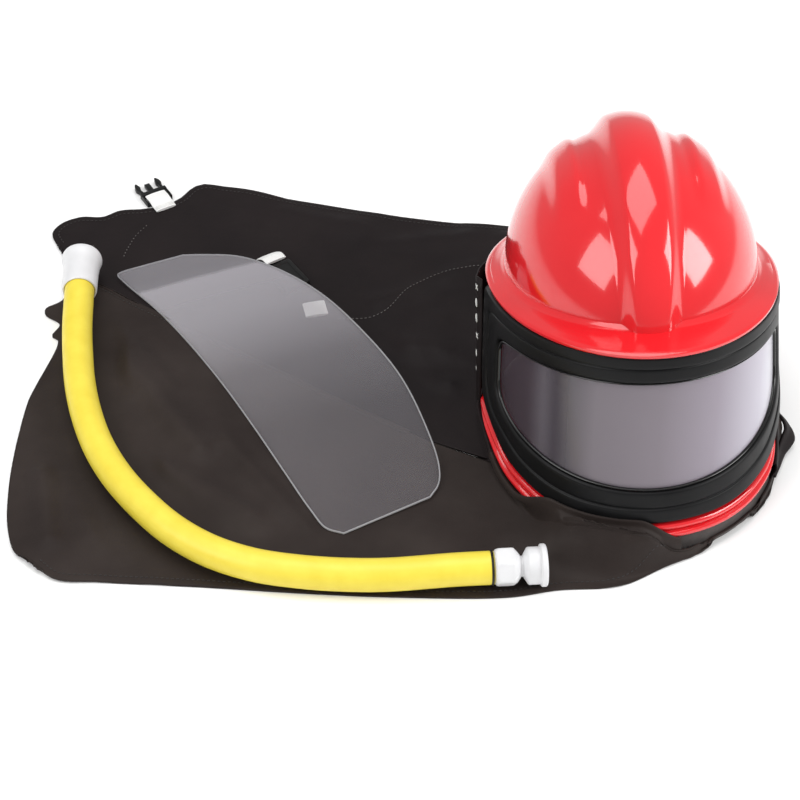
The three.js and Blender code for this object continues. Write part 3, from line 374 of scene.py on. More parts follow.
class NodeBoard:
    """Lays out one material's nodes."""

    def __init__(self, name: str) -> None:
        """Starts a material of that name with its usual shader."""
        self.material = bpy.data.materials.new(name)
        self.material.use_nodes = True
        self.tree = self.material.node_tree
        self.shader = next(node for node in self.tree.nodes if node.type == "BSDF_PRINCIPLED")
        self.places = self.tree.nodes.new("ShaderNodeTexCoord").outputs["Object"]

    def add(self, kind: str, **sockets: object) -> bpy.types.Node:
        """Adds a node.

        Args:
            kind: The node's type name, without "ShaderNode".
            **sockets: Values or outputs for its inputs, with underscores for spaces.

        Returns:
            The node.
        """
        node = self.tree.nodes.new("ShaderNode" + kind)
        for name, value in sockets.items():
            self.feed(node, name.replace("_", " "), value)
        return node

    def feed(self, node: bpy.types.Node, name: str, value: object) -> None:
        """Sets a node's input to a value, or links it to an output."""
        if isinstance(value, Socket):
            self.tree.links.new(value, node.inputs[name])
        else:
            node.inputs[name].default_value = value

    def shade(self, **sockets: object) -> None:
        """Sets the shader's inputs."""
        for name, value in sockets.items():
            self.feed(self.shader, name.replace("_", " "), value)

    def cloudy(self, scale: float, detail: float = 3.0, roughness: float = 0.5) -> Socket:
        """Returns a noise over the piece, from 0 to 1, with that many blobs a metre."""
        clouds = self.add("TexNoise", Vector=self.places, Scale=scale, Detail=detail, Roughness=roughness)
        return clouds.outputs["Fac"]

    def between(self, share: Socket, low: float, high: float) -> Socket:
        """Returns a share from 0 to 1 spread over another range."""
        spread = self.add("MapRange", Value=share)
        spread.inputs["To Min"].default_value = low
        spread.inputs["To Max"].default_value = high
        return spread.outputs["Result"]

    def two_tone(self, share: Socket, first: Colour, second: Colour) -> Socket:
        """Returns a colour between two, by a share from 0.3 to 0.7 of a noise."""
        ramp = self.add("ValToRGB", Fac=share)
        ramp.color_ramp.elements[0].position = 0.3
        ramp.color_ramp.elements[1].position = 0.7
        ramp.color_ramp.elements[0].color = (*first, 1)
        ramp.color_ramp.elements[1].color = (*second, 1)
        return ramp.outputs["Color"]

    def along(self, turn: float, low: float, high: float) -> Socket:
        """Returns a share from 0 to 1 over a distance across the piece.

        Args:
            turn: How far the X axis is turned about +Z before measuring, in radians.
            low: Where the share is 0.
            high: Where the share is 1.
        """
        spin = self.add("Mapping", Vector=self.places)
        spin.inputs["Rotation"].default_value = (0, 0, turn)
        split = self.add("SeparateXYZ", Vector=spin.outputs["Vector"])
        spread = self.add("MapRange", Value=split.outputs["X"])
        spread.inputs["From Min"].default_value = low
        spread.inputs["From Max"].default_value = high
        return spread.outputs["Result"]

    def ramp(self, share: Socket, *stops: tuple[float, Colour]) -> Socket:
        """Returns a colour that runs through stops of a share and a colour."""
        node = self.add("ValToRGB", Fac=share)
        elements = node.color_ramp.elements
        elements[0].position, elements[1].position = stops[0][0], stops[-1][0]
        elements[0].color, elements[1].color = (*stops[0][1], 1), (*stops[-1][1], 1)
        for place, colour in stops[1:-1]:
            elements.new(place).color = (*colour, 1)
        return node.outputs["Color"]

    def bumps(self, *layers: tuple[Socket, float, float]) -> Socket:
        """Stacks bump layers.

        Args:
            *layers: A height, a strength and a depth in metres for each layer.

        Returns:
            The normal after the last layer.
        """
        normal = None
        for height, strength, depth in layers:
            bump = self.add("Bump", Height=height, Strength=strength, Distance=depth)
            if normal is not None:
                self.feed(bump, "Normal", normal)
            normal = bump.outputs["Normal"]
        return normal

    def weave(self, pitch: float, turn: float) -> Socket:
        """Returns the height of crossed threads.

        Args:
            pitch: The distance between two threads.
            turn: How far the threads turn about +Z, in radians.
        """
        spin = self.add("Mapping", Vector=self.places)
        spin.inputs["Rotation"].default_value = (0, 0, turn)
        heights = []
        for direction in ("X", "Y"):
            wave = self.add("TexWave", Vector=spin.outputs["Vector"], Scale=math.pi / (10 * pitch))
            wave.bands_direction = direction
            heights.append(wave.outputs["Fac"])
        join = self.add("Math")
        join.operation = "MAXIMUM"
        for socket, height in zip(join.inputs, heights):
            self.tree.links.new(height, socket)
        return join.outputs["Value"]


@dataclass(frozen=True)
class GlossShell:
    """Moulded shell plastic with a hard shine."""

    name: str = "shell_red_gloss"
    colour: Colour = (0.68, 0.008, 0.014)
    worn: Colour = (0.76, 0.014, 0.02)
    roughness: Pair = (0.1, 0.17)

    def make(self) -> bpy.types.Material:
        """Returns the material."""
        board = NodeBoard(self.name)
        dust = board.cloudy(40, 5)
        board.shade(
            Base_Color=board.two_tone(board.cloudy(9), self.colour, self.worn),
            Roughness=board.between(dust, *self.roughness),
            Normal=board.bumps((board.cloudy(70, 2), 0.05, 0.0006), (board.cloudy(900, 2), 0.03, 0.0001)),
        )
        board.shade(IOR=1.5, Coat_Weight=0.7, Coat_Roughness=0.04)
        return board.material


@dataclass(frozen=True)
class MouldedRubber:
    """Black moulded rubber or plastic with a fine grain."""

    name: str
    colour: Colour
    worn: Colour
    roughness: Pair
    grain: float = 0.2
    coat: float = 0.0

    def make(self) -> bpy.types.Material:
        """Returns the material."""
        board = NodeBoard(self.name)
        board.shade(
            Base_Color=board.two_tone(board.cloudy(25, 4), self.colour, self.worn),
            Roughness=board.between(board.cloudy(60, 4), *self.roughness),
            Normal=board.bumps(
                (board.cloudy(50, 2), 0.06, 0.0008), (board.cloudy(1600, 2), self.grain, 0.0001),
            ),
        )
        board.shade(Coat_Weight=self.coat, Coat_Roughness=0.08, Specular_IOR_Level=0.16)
        return board.material


@dataclass(frozen=True)
class ClearSheet:
    """Clear plastic sheet whose colour and see-through change across it: its colour ramp paints reflections
    and highlights over its haze.
    """

    name: str
    turn: float
    span: Pair
    haze_and_painted_reflections: tuple[tuple[float, Colour], ...]
    alphas: tuple[Pair, ...]
    roughness: float

    def make(self) -> bpy.types.Material:
        """Returns the material."""
        board = NodeBoard(self.name)
        across = board.along(self.turn, *self.span)
        wander = board.add("Math")
        wander.operation = "MULTIPLY_ADD"
        board.tree.links.new(board.cloudy(16, 2), wander.inputs[0])
        wander.inputs[1].default_value = 0.015
        board.tree.links.new(across, wander.inputs[2])
        share = wander.outputs["Value"]
        # The colour and opacity ramps along the sheet paint its lighter and darker reflection bands, which
        # are not in the plastic itself.
        clear = board.ramp(share, *((place, (alpha, alpha, alpha)) for place, alpha in self.alphas))
        board.shade(
            Base_Color=board.ramp(share, *self.haze_and_painted_reflections),
            Alpha=clear,
            Normal=board.bumps((board.cloudy(14, 1), 0.05, 0.001)),
        )
        board.shade(Roughness=self.roughness, IOR=1.5, Specular_IOR_Level=0.25)
        return board.material


@dataclass(frozen=True)
class CoatedCloth:
    """Coated work cloth: tight weave, soft satin shine, faint rubbed tones."""

    name: str
    colour: Colour
    rubbed: Colour
    roughness: Pair = (0.5, 0.68)
    pitch: float = 0.0012
    turn: float = 0.6

    def make(self) -> bpy.types.Material:
        """Returns the material."""
        board = NodeBoard(self.name)
        folds = board.cloudy(26, 6, 0.55)
        board.shade(
            Base_Color=board.two_tone(board.cloudy(11, 5), self.colour, self.rubbed),
            Roughness=board.between(board.cloudy(34, 3), *self.roughness),
            Normal=board.bumps(
                (folds, 0.35, 0.003), (board.cloudy(120, 4), 0.2, 0.0006),
                (board.weave(self.pitch, self.turn), 0.12, 0.0002),
            ),
        )
        board.shade(Sheen_Weight=0.02, Sheen_Roughness=0.5, Specular_IOR_Level=0.17)
        return board.material


@dataclass(frozen=True)
class SatinPlastic:
    """Plain moulded plastic or hose rubber with a satin face."""

    name: str
    colour: Colour
    shade: Colour
    roughness: Pair = (0.3, 0.42)
    sheen: float = 0.0

    def make(self) -> bpy.types.Material:
        """Returns the material."""
        board = NodeBoard(self.name)
        board.shade(
            Base_Color=board.two_tone(board.cloudy(60, 4), self.colour, self.shade),
            Roughness=board.between(board.cloudy(90, 3), *self.roughness),
            Normal=board.bumps((board.cloudy(130, 2), 0.08, 0.0005), (board.cloudy(1500, 1), 0.06, 0.0001)),
        )
        board.shade(Sheen_Weight=self.sheen, IOR=1.48)
        return board.material


@dataclass(frozen=True)
class WovenTape:
    """White webbing with a coarse diagonal weave."""

    name: str = "webbing_white_woven"
    colour: Colour = (0.72, 0.72, 0.7)
    shade: Colour = (0.86, 0.86, 0.85)

    def make(self) -> bpy.types.Material:
        """Returns the material."""
        board = NodeBoard(self.name)
        threads = board.weave(0.0016, 0.9)
        board.shade(
            Base_Color=board.two_tone(threads, self.colour, self.shade),
            Roughness=board.between(board.cloudy(200), 0.75, 0.9),
            Normal=board.bumps((threads, 0.5, 0.0004)),
        )
        board.shade(Sheen_Weight=0.2)
        return board.material


SHELL_RED = GlossShell()
FRAME_BLACK = MouldedRubber(
    "frame_black_rubber", (0.005, 0.005, 0.0055), (0.009, 0.009, 0.0095), (0.34, 0.46),
)
GASKET_BLACK = MouldedRubber(
    "gasket_black_gloss", (0.006, 0.006, 0.006), (0.01, 0.01, 0.01), (0.1, 0.16), 0.05, 0.6,
)
BUCKLE_BLACK = MouldedRubber("buckle_black_plastic", (0.01, 0.01, 0.01), (0.016, 0.016, 0.016), (0.3, 0.4))
# Window lens: its colour ramp along X is painted reflection. It runs dark grey-purple at the left, then a
# painted highlight, a painted dark band, mid grey and near white at the right. It grows a little more opaque
# towards the right.
WINDOW_CLEAR = ClearSheet(
    "window_clear_sheet", 0.0, (0.075, 0.295),
    (
        (0.0, (0.05, 0.034, 0.044)), (0.12, (0.075, 0.058, 0.072)), (0.165, (0.15, 0.134, 0.156)),
        (0.205, (0.085, 0.074, 0.09)), (0.245, (0.15, 0.138, 0.156)), (0.33, (0.25, 0.222, 0.25)),
        (0.55, (0.27, 0.238, 0.27)), (0.75, (0.37, 0.33, 0.385)), (0.93, (0.6, 0.57, 0.65)),
        (1.0, (0.85, 0.85, 0.92)),
    ),
    ((0.0, 0.7), (1.0, 0.76)),
    0.2,
)
# Spare lens: the lighter, more opaque band near its raised top end is a painted reflection, and the opacity
# falls from there along the sheet.
SPARE_CLEAR = ClearSheet(
    "spare_clear_sheet", math.radians(-105.2), (0.2, -0.15),
    (
        (0.0, (0.5, 0.48, 0.52)), (0.04, (0.52, 0.5, 0.54)), (0.2, (0.55, 0.53, 0.57)),
        (1.0, (0.5, 0.47, 0.51)),
    ),
    ((0.0, 0.2), (0.032, 0.22), (0.044, 0.44), (0.2, 0.34), (0.4, 0.16), (0.6, 0.1), (1.0, 0.07)),
    0.16,
)
# Spare lens rim: its light grey is a painted highlight along the sheet's edge, lighter and more opaque
# towards the right.
RIM_CLEAR = ClearSheet(
    "spare_rim_clear", 0.0, (-0.3, 0.1), ((0.0, (0.4, 0.4, 0.42)), (1.0, (0.55, 0.55, 0.57))),
    ((0.0, 0.45), (1.0, 0.65)), 0.15,
)
CLOTH_BACK = CoatedCloth("cloth_back_coated", (0.0055, 0.0028, 0.0034), (0.0115, 0.0072, 0.0074))
CLOTH_FRONT = CoatedCloth("cloth_front_coated", (0.0165, 0.0108, 0.0095), (0.033, 0.0245, 0.0215), turn=0.25)
CLOTH_COLLAR = CoatedCloth("cloth_collar_coated", (0.055, 0.049, 0.047), (0.085, 0.077, 0.074), turn=0.0)
HOSE_YELLOW = SatinPlastic("hose_yellow_rubber", (0.78, 0.62, 0.05), (0.84, 0.69, 0.07), (0.34, 0.5))
FITTING_WHITE = SatinPlastic("fitting_white_plastic", (0.7, 0.7, 0.71), (0.76, 0.76, 0.77))
THREAD_WHITE = SatinPlastic("thread_white", (0.7, 0.7, 0.68), (0.8, 0.8, 0.78), (0.7, 0.85), 0.2)
THREAD_GREY = SatinPlastic("thread_grey", (0.07, 0.065, 0.062), (0.12, 0.11, 0.105), (0.7, 0.85), 0.2)
THREAD_DARK = SatinPlastic("thread_dark", (0.012, 0.01, 0.0095), (0.018, 0.015, 0.014), (0.7, 0.85), 0.2)
WEBBING_WHITE = WovenTape()

Finish = GlossShell | MouldedRubber | ClearSheet | CoatedCloth | SatinPlastic | WovenTape


@dataclass
class Workbench:
    """Turns finished forms into named pieces that ride with the hood."""

    sharp_angle: float = 38.0
    made: dict[str, bpy.types.Material] = field(default_factory=dict)

    def material(self, finish: Finish) -> bpy.types.Material:
        """Returns a finish's material, made once."""
        if finish.name not in self.made:
            self.made[finish.name] = finish.make()
        return self.made[finish.name]

    def keep(
        self, name: str, form: Form, finish: Finish, slot: Slot, stands_for: Sequence[str] = (),
    ) -> bpy.types.Object:
        """Makes a piece of a form.

        Args:
            name: The piece's name.
            form: Its shape, in place; it is used up.
            finish: What it is made of.
            slot: The record's slot for it; not used.
            stands_for: The CAD nodes that it takes the place of.

        Returns:
            The piece's object.
        """
        form.normal_update()
        for face in form.faces:
            face.smooth = True
        for edge in form.edges:
            if len(edge.link_faces) == 2:
                edge.smooth = edge.calc_face_angle(0.0) < math.radians(self.sharp_angle)
        mesh = bpy.data.meshes.new(name)
        form.to_mesh(mesh)
        form.free()
        piece = linked(name, mesh)
        return self.dress(piece, finish, slot, stands_for)

    def dress(
        self, piece: bpy.types.Object, finish: Finish, slot: Slot, stands_for: Sequence[str] = (),
    ) -> bpy.types.Object:
        """Gives a piece its material, body and CAD nodes, and reports it."""
        piece.data.materials.clear()
        piece.data.materials.append(self.material(finish))
        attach(piece, "root")
        if stands_for:
            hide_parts(*stands_for)
        LOG.info("made %s", piece.name)
        return piece

    def thicken(self, piece: bpy.types.Object, thickness: float, offset: float) -> None:
        """Gives a sheet its wall with a modifier."""
        wall = piece.modifiers.new("wall", "SOLIDIFY")
        wall.thickness = thickness
        wall.offset = offset
        wall.use_even_offset = False


@dataclass(frozen=True)
class Outline:
    """A rounded outline on the face shell, in bearing and level."""

    span: float
    top: Callable[[float], float]
    bottom: Callable[[float], float]
    top_power: float
    bottom_power: float

    def point(self, angle: float) -> Pair:
        """Returns the bearing and level at an angle seen from the outline's middle."""
        across, up = math.cos(angle), math.sin(angle)
        power = self.top_power if up > 0 else self.bottom_power
        reach = (abs(across) ** power + abs(up) ** power) ** (-1 / power)
        bearing = self.span * across * reach
        top, bottom = self.top(bearing), self.bottom(bearing)
        return bearing, (top + bottom + up * reach * (top - bottom)) / 2


@dataclass
class HelmetShape:
    """The helmet's sizes and its surfaces, in its own frame, from the middle of the brim."""

    dome_half_width: float = 0.1
    dome_front: float = 0.126
    dome_back: float = 0.124
    dome_height: float = 0.11
    wall: float = 0.003
    brim_half_width: float = 0.115
    brim_front: float = 0.161
    brim_back: float = 0.133
    brim_edge: float = 0.0042
    brim_drop: float = 0.0023
    ridge_half_width_front: float = 0.021
    ridge_half_width_top: float = 0.028
    ridge_height_front: float = 0.008
    ridge_height_top: float = 0.012
    rib_half_width: float = 0.014
    rib_offset: float = 0.054
    rib_height: float = 0.005
    face_half_width: Pair = (0.108, 0.117)
    face_front: Pair = (0.149, 0.138)
    face_back: Pair = (0.121, 0.112)
    rim_depth_front: float = 0.168
    rim_depth_side: float = 0.12
    rim_depth_back: float = 0.098
    lip_height: float = 0.0145
    lip_bag: float = 0.0085
    lip_bag_start: Pair = (4, 48)
    lip_bag_end: Pair = (58, 79)
    lip_thin: float = 0.72
    lip_thin_start: Pair = (64, 88)
    lip_proud: float = 0.009
    window_span: float = 72.0
    window_top_depth: float = 0.0295
    window_bottom_depth: Pair = (0.125, 0.096)
    frame_span: float = 91.0
    frame_thickness: float = 0.008
    lens_thickness: float = 0.002
    lens_tuck: float = 0.005
    gasket_width: float = 0.0021
    seat_gap: float = 0.0005
    collar_clearance: float = 0.004
    chin_fold_rise: float = 0.03
    chin_fold_margin: float = 14.0

    def __post_init__(self) -> None:
        """Works out the matrix that lays the helmet down."""
        turn = Matrix.Rotation(math.radians(HELMET_TURN), 4, "Z")
        lean = Matrix.Rotation(-math.radians(HELMET_LEAN), 4, "X")
        tilt = Matrix.Rotation(math.radians(HELMET_TILT), 4, "Y")
        self.frame = turn @ lean @ tilt
        bearings = [math.radians(angle) for angle in range(-180, 180, 6)]
        lowest = min((self.frame @ self.face(angle, self.rim(angle), 0.0)).z for angle in bearings)
        self.frame = Matrix.Translation((HELMET_X, HELMET_Y, RIM_LIFT - lowest)) @ self.frame

    def oval(self, bearing: float, half_width: float, front: float, back: float, z: float) -> Vector:
        """Returns a point on an oval about the helmet's axis; bearing 0 is the front."""
        ahead = math.cos(bearing)
        return Vector((half_width * math.sin(bearing), -(front if ahead > 0 else back) * ahead, z))

    def brim_under(self, bearing: float) -> float:
        """Returns the level of the brim's underside."""
        return -self.brim_edge - self.brim_drop * max(0.0, math.cos(bearing)) ** 2

    def rim(self, bearing: float) -> float:
        """Returns the level of the face shell's rim."""
        ahead = math.cos(bearing)
        end = self.rim_depth_front if ahead > 0 else self.rim_depth_back
        return -mix(self.rim_depth_side, end, abs(ahead) ** 1.5)

    def lip_foot(self, bearing: float) -> float:
        """Returns the level of the lip's lower edge: it bags below the rim at both sides of the chin."""
        turn = abs(math.degrees(bearing))
        bag = smooth_step(turn, *self.lip_bag_start) * (1 - smooth_step(turn, *self.lip_bag_end))
        return self.rim(bearing) - self.lip_bag * bag

    def lip_top(self, bearing: float) -> float:
        """Returns the level of the lip's upper edge, where the window frame ends."""
        turn = abs(math.degrees(bearing))
        thinned = smooth_step(turn, *self.lip_thin_start)
        return self.lip_foot(bearing) + self.lip_height * mix(1, self.lip_thin, thinned)

    def face(self, bearing: float, level: float, proud: float) -> Vector:
        """Returns a point on the face shell's outside, or proud of it."""
        share = -level / self.rim_depth_front
        return self.oval(
            bearing,
            mix(*self.face_half_width, share) + proud,
            mix(*self.face_front, share) + proud,
            mix(*self.face_back, share) + proud,
            level,
        )

    def placed(self, bearing: float, level: float, proud: float) -> Vector:
        """Returns a point on the face shell where the helmet lies."""
        return self.frame @ self.face(bearing, level, proud)

    def window(self, outset: float) -> Outline:
        """Returns the window's outline, moved out by a distance."""
        front, side = self.window_bottom_depth
        return Outline(
            math.radians(self.window_span) + outset / self.face_half_width[0],
            lambda bearing: -self.window_top_depth + outset,
            lambda bearing: -mix(side, front, max(0.0, math.cos(bearing)) ** 1.5) - outset,
            9,
            3.4,
        )

    def frame_outline(self) -> Outline:
        """Returns the outside of the window frame."""
        return Outline(
            math.radians(self.frame_span),
            lambda bearing: self.brim_under(bearing) - 2 * GAP,
            lambda bearing: self.lip_top(bearing) + 2 * GAP,
            14,
            6,
        )

    def even_angles(self, count: int) -> list[float]:
        """Returns angles that give points at even distances round the window's band."""
        outer, inner = self.frame_outline(), self.window(0.0)
        angles = np.linspace(0, FULL_TURN, 40 * count + 1)
        points = []
        for angle in angles:
            (a, low), (b, high) = outer.point(angle), inner.point(angle)
            points.append(self.face((a + b) / 2, (low + high) / 2, 0))
        lengths = np.cumsum([0.0] + [(b - a).length for a, b in zip(points, points[1:])])
        wanted = lengths[-1] * np.arange(count) / count
        return list(np.interp(wanted, lengths, angles))

    def lip_share(self, bearing: float) -> float:
        """Returns how much of the lip there is: all of it round the front, none at the back."""
        low, high = (88, 104) if bearing < 0 else (52, 86)
        return 1 - smooth_step(abs(bearing), math.radians(low), math.radians(high))

    def collar_climb(self, bearing: float) -> float:
        """Returns how far the collar has climbed over the rim: not at the front, fully behind."""
        return smooth_step(abs(bearing), math.radians(105), math.radians(118))

    def collar_proud(self, bearing: float) -> float:
        """Returns how far the collar's inside stands off the face shell."""
        return mix(CLOTH, GAP, self.collar_climb(bearing))

    def collar_bottom(self, bearing: float) -> float:
        """Returns the level at which the collar's outside is just above the ground."""
        rim = self.rim(bearing)
        at_rim = self.placed(bearing, rim, 2 * CLOTH).z
        fall = (at_rim - self.placed(bearing, rim - 0.001, 2 * CLOTH).z) / 0.001
        return rim - (at_rim - self.collar_clearance) / fall

    def chin_fold(self, bearing: float, margin: float) -> float:
        """Returns how much of the chin fold covers the lip at a bearing."""
        degrees = math.degrees(bearing)
        rise = smooth_step(degrees, -42 - margin, -26 - margin)
        return rise * (1 - smooth_step(degrees, -3 + margin, 8 + margin))

    def collar_foot(self, bearing: float) -> Vector:
        """Returns the cape's edge on the collar, where the helmet lies."""
        ahead = max(0.0, math.cos(bearing))
        overlap = 0.004
        low_level = self.collar_bottom(bearing) + overlap * (1 - ahead)
        stand_off = self.collar_proud(bearing) + CLOTH + 3 * self.seat_gap
        on_collar = self.placed(bearing, low_level, stand_off)
        on_lip = self.placed(bearing, self.rim(bearing), self.lip_proud + 2 * CLOTH + GAP)
        foot = on_collar.lerp(on_lip, self.chin_fold(bearing, self.chin_fold_margin))
        rise = self.chin_fold_rise * self.chin_fold(bearing, 0.0)
        foot.z = max(CLOTH + GAP, on_collar.z + overlap * ahead + rise)
        return foot


@dataclass
class Helmet:
    """The helmet: dome, brim, face shell, window and collar."""

    shape: HelmetShape
    bench: Workbench
    bearing_steps: int = 220
    arc_steps: int = 150
    inside_steps: int = 8
    edge_steps: int = 22
    outside_steps: int = 46
    outline_steps: int = 300
    gather_depth: float = 0.0025
    collar_radius: float = 0.128
    collar_drop: float = 0.06
    collar_shown: float = 0.45
    cloth_wall: float = 0.0014
    cover_wall: float = 0.0012
    cover_stand_off: float = 0.0016
    cover_flare: float = 0.0125
    cover_edge_lift: float = 0.007
    tab_wall: float = 0.0024
    wrap_thinnest: float = 0.45
    wrap_stand: float = 0.0022
    wrap_ripple: float = 0.0005
    wrap_reach: Pair = (0.36, 0.12)
    wrap_knee: float = 0.003
    wrap_shin: Pair = (0.012, 0.26)
    wrap_toe: Pair = (0.027, 0.59)
    wrap_toe_sink: float = 0.006

    def dome_across(self) -> list[Pair]:
        """Returns the dome's columns: a share of the ridge's half width, and a share of the rest."""
        inside = [(0.55 * step / self.inside_steps, 0.0) for step in range(self.inside_steps)]
        edge = [(mix(0.55, 1.15, step / self.edge_steps), 0.0) for step in range(self.edge_steps)]
        rest = [
            (1.15, math.sin(math.pi / 2 * step / self.outside_steps))
            for step in range(self.outside_steps + 1)
        ]
        return [*inside, *edge, *rest]

    def dome_form(self) -> Form:
        """Returns the dome's outer skin, with its ridge and ribs."""
        shape = self.shape
        columns = self.dome_across()
        mirrored = [(ridge, rest, -1) for ridge, rest in columns[:0:-1]]
        sections = []
        for ridge, rest, sign in [*mirrored, *((ridge, rest, 1) for ridge, rest in columns)]:
            section = []
            for step in range(self.arc_steps + 1):
                arc = math.pi * step / self.arc_steps
                half_ridge = mix(shape.ridge_half_width_front, shape.ridge_half_width_top, math.sin(arc))
                across = mix(ridge * half_ridge, shape.dome_half_width, rest)
                shrink = math.sqrt(max(0.0, 1 - (across / shape.dome_half_width) ** 2))
                height = mix(shape.ridge_height_front, shape.ridge_height_top, math.sin(arc))
                side = across / half_ridge
                proud = height * (1 - smooth_step(side, 0.55, 1.1)) * (1 - 0.42 * min(1.0, side) ** 2)
                from_rib = abs(across - shape.rib_offset) / shape.rib_half_width
                rib = smooth_step(math.sin(arc), 0.72, 0.95) * (1 - smooth_step(from_rib, 0.4, 1.1))
                proud += shape.rib_height * rib
                depth = shape.dome_front if arc < math.pi / 2 else shape.dome_back
                section.append(shape.frame @ Vector((
                    sign * across,
                    -math.cos(arc) * (depth * shrink + proud),
                    math.sin(arc) * (shape.dome_height * shrink + proud),
                )))
            sections.append(section)
        return faced_up(lofted(sections, ring=False, closed=False))

    def brim_form(self) -> Form:
        """Returns the brim: a sloping plate with a rolled edge and a fillet up to the dome."""
        shape = self.shape
        inner = (shape.dome_half_width, shape.dome_front, shape.dome_back)
        outer = (shape.brim_half_width, shape.brim_front, shape.brim_back)
        # Each row: share of the way from dome to edge, distance past it, level above the underside
        # as a share of the plate, and extra height
        rows = (
            (0, -0.006, 1, 0.008), (0, -0.001, 1, 0.0068), (0, 0.0016, 1, 0.0042), (0, 0.0036, 1, 0.003),
            (0, 0.0055, 1, 0.0026), (0.35, 0.001, 1, 0.0022), (0.7, 0, 1, 0.0014), (1, -0.004, 1, 0.0008),
            (1, -0.0022, 1, 0.0006), (1, -0.0008, 0.94, 0), (1, 0, 0.76, 0), (1, 0, 0.4, 0),
            (1, -0.0007, 0.14, 0), (1, -0.002, 0.0, 0), (1, -0.005, 0, 0), (0.5, 0, 0, 0),
            (0, -0.004, 0, 0), (0, -0.012, 0, 0), (0, -0.012, 1, 0.004),
        )
        sections = []
        for step in range(self.bearing_steps):
            bearing = FULL_TURN * step / self.bearing_steps
            under = shape.brim_under(bearing)
            top = under + shape.brim_edge
            section = []
            for share, past, level, extra in rows:
                sizes = [mix(a, b, share) + past for a, b in zip(inner, outer)]
                height = mix(under, top, level) + extra
                if level == 1:
                    height += (shape.brim_drop * max(0.0, math.cos(bearing)) ** 2) * (1 - share)
                section.append(shape.frame @ shape.oval(bearing, *sizes, height))
            sections.append(section)
        return skinned(sections, ring=True, closed=True)

    def shell_form(self) -> Form:
        """Returns the face shell's skin round the window, down to its rim."""
        shape = self.shape
        inner = shape.window(0.001)
        outer = Outline(
            math.pi,
            lambda bearing: shape.brim_under(bearing) - GAP,
            shape.lip_top,
            40,
            40,
        )
        sections = []
        for step in range(self.outline_steps):
            angle = FULL_TURN * step / self.outline_steps
            (a, low), (b, high) = inner.point(angle), outer.point(angle)
            points = [self.shape.placed(mix(a, b, s / 12), mix(low, high, s / 12), 0.0) for s in range(13)]
            sections.append(points)
        form = lofted(sections, ring=True, closed=False)
        bmesh.ops.remove_doubles(form, verts=form.verts, dist=2e-4)
        bmesh.ops.recalc_face_normals(form, faces=form.faces)
        return form

    def lip_form(self) -> Form:
        """Returns the beaded lip round the rim: two beads with a groove between them."""
        shape = self.shape
        rows = (
            (1.02, 0.0), (0.97, 0.12), (0.93, 0.5), (0.88, 0.8), (0.8, 0.9), (0.7, 0.92), (0.6, 0.84),
            (0.54, 0.7), (0.5, 0.58), (0.46, 0.56), (0.42, 0.66), (0.37, 0.86), (0.3, 0.98), (0.22, 1.0),
            (0.13, 0.96), (0.05, 0.82), (0.0, 0.6), (0.0, 0.2), (0.0, -0.33), (0.5, -0.33), (1.02, -0.33),
        )
        sections = []
        for step in range(self.bearing_steps):
            bearing = -math.pi + FULL_TURN * step / self.bearing_steps
            bead = mix(0.0006, shape.lip_proud, shape.lip_share(bearing))
            foot, top = shape.lip_foot(bearing), shape.lip_top(bearing)
            section = []
            for height, proud in rows:
                stands = proud * bead if proud > 0 else proud * shape.lip_proud
                section.append(shape.placed(bearing, mix(foot, top, height), stands))
            sections.append(section)
        return skinned(sections, ring=True, closed=True)

    def band_form(self, rows: Sequence[Pair], outer: Outline, inner: Outline) -> Form:
        """Lofts a closed band round the window.

        Args:
            rows: Shares of the way from the outer to the inner outline, with the distance proud.
            outer: The band's outside.
            inner: The band's inside.

        Returns:
            The closed band.
        """
        sections = []
        for angle in self.shape.even_angles(self.outline_steps):
            (a, low), (b, high) = outer.point(angle), inner.point(angle)
            sections.append([
                self.shape.placed(mix(a, b, share), mix(low, high, share), proud) for share, proud in rows
            ])
        return skinned(sections, ring=True, closed=True)

    def window_frame_form(self) -> Form:
        """Returns the moulded window frame: a wide outer tier, a groove and a thin inner tier."""
        thick = self.shape.frame_thickness
        floor = 2 * self.shape.seat_gap + self.shape.lens_thickness
        rows = (
            (0, 0.0005), (0, 0.78 * thick), (0.03, 0.94 * thick), (0.07, thick), (0.2, thick), (0.33, thick),
            (0.4, 0.98 * thick), (0.44, 0.94 * thick), (0.46, 0.8 * thick), (0.475, 0.76 * thick),
            (0.49, 0.78 * thick), (0.51, 0.84 * thick), (0.54, 0.87 * thick), (0.7, 0.88 * thick),
            (0.9, 0.87 * thick), (0.96, 0.82 * thick), (1, 0.66 * thick), (1, floor),
            (0.8, floor), (0.5, 0.001), (0.25, 0.0005),
        )
        return self.band_form(cut_corners(rows, 1), self.shape.frame_outline(), self.shape.window(0.0))

    def gasket_form(self) -> Form:
        """Returns the round gasket on the lens, inside the frame."""
        floor = 2 * self.shape.seat_gap + self.shape.lens_thickness
        width = self.shape.gasket_width
        rows = [
            (0.5 - 0.5 * math.cos(angle), floor + width * max(0.0, math.sin(angle)))
            for angle in np.linspace(0, math.pi, 9)
        ]
        return self.band_form([*rows, (0.5, floor)], self.shape.window(-GAP), self.shape.window(-GAP - width))

    def lens_form(self, outset: float, proud: float, columns: int = 120, rows: int = 30) -> Form:
        """Returns the sheet that fills the window.

        Args:
            outset: How far its edge is outside the opening.
            proud: How far it stands off the face shell.
            columns: How many strips it has from left to right.
            rows: How many steps each strip has.

        Returns:
            An open sheet.
        """
        outline = self.shape.window(outset)
        sections = []
        for step in range(columns + 1):
            across = -math.cos(math.pi * step / columns)
            bearing = outline.span * across
            top, bottom = outline.top(bearing), outline.bottom(bearing)

            def reach(power: float) -> float:
                """Returns how far the outline reaches up or down here."""
                return max(0.0, 1 - abs(across) ** power) ** (1 / power)

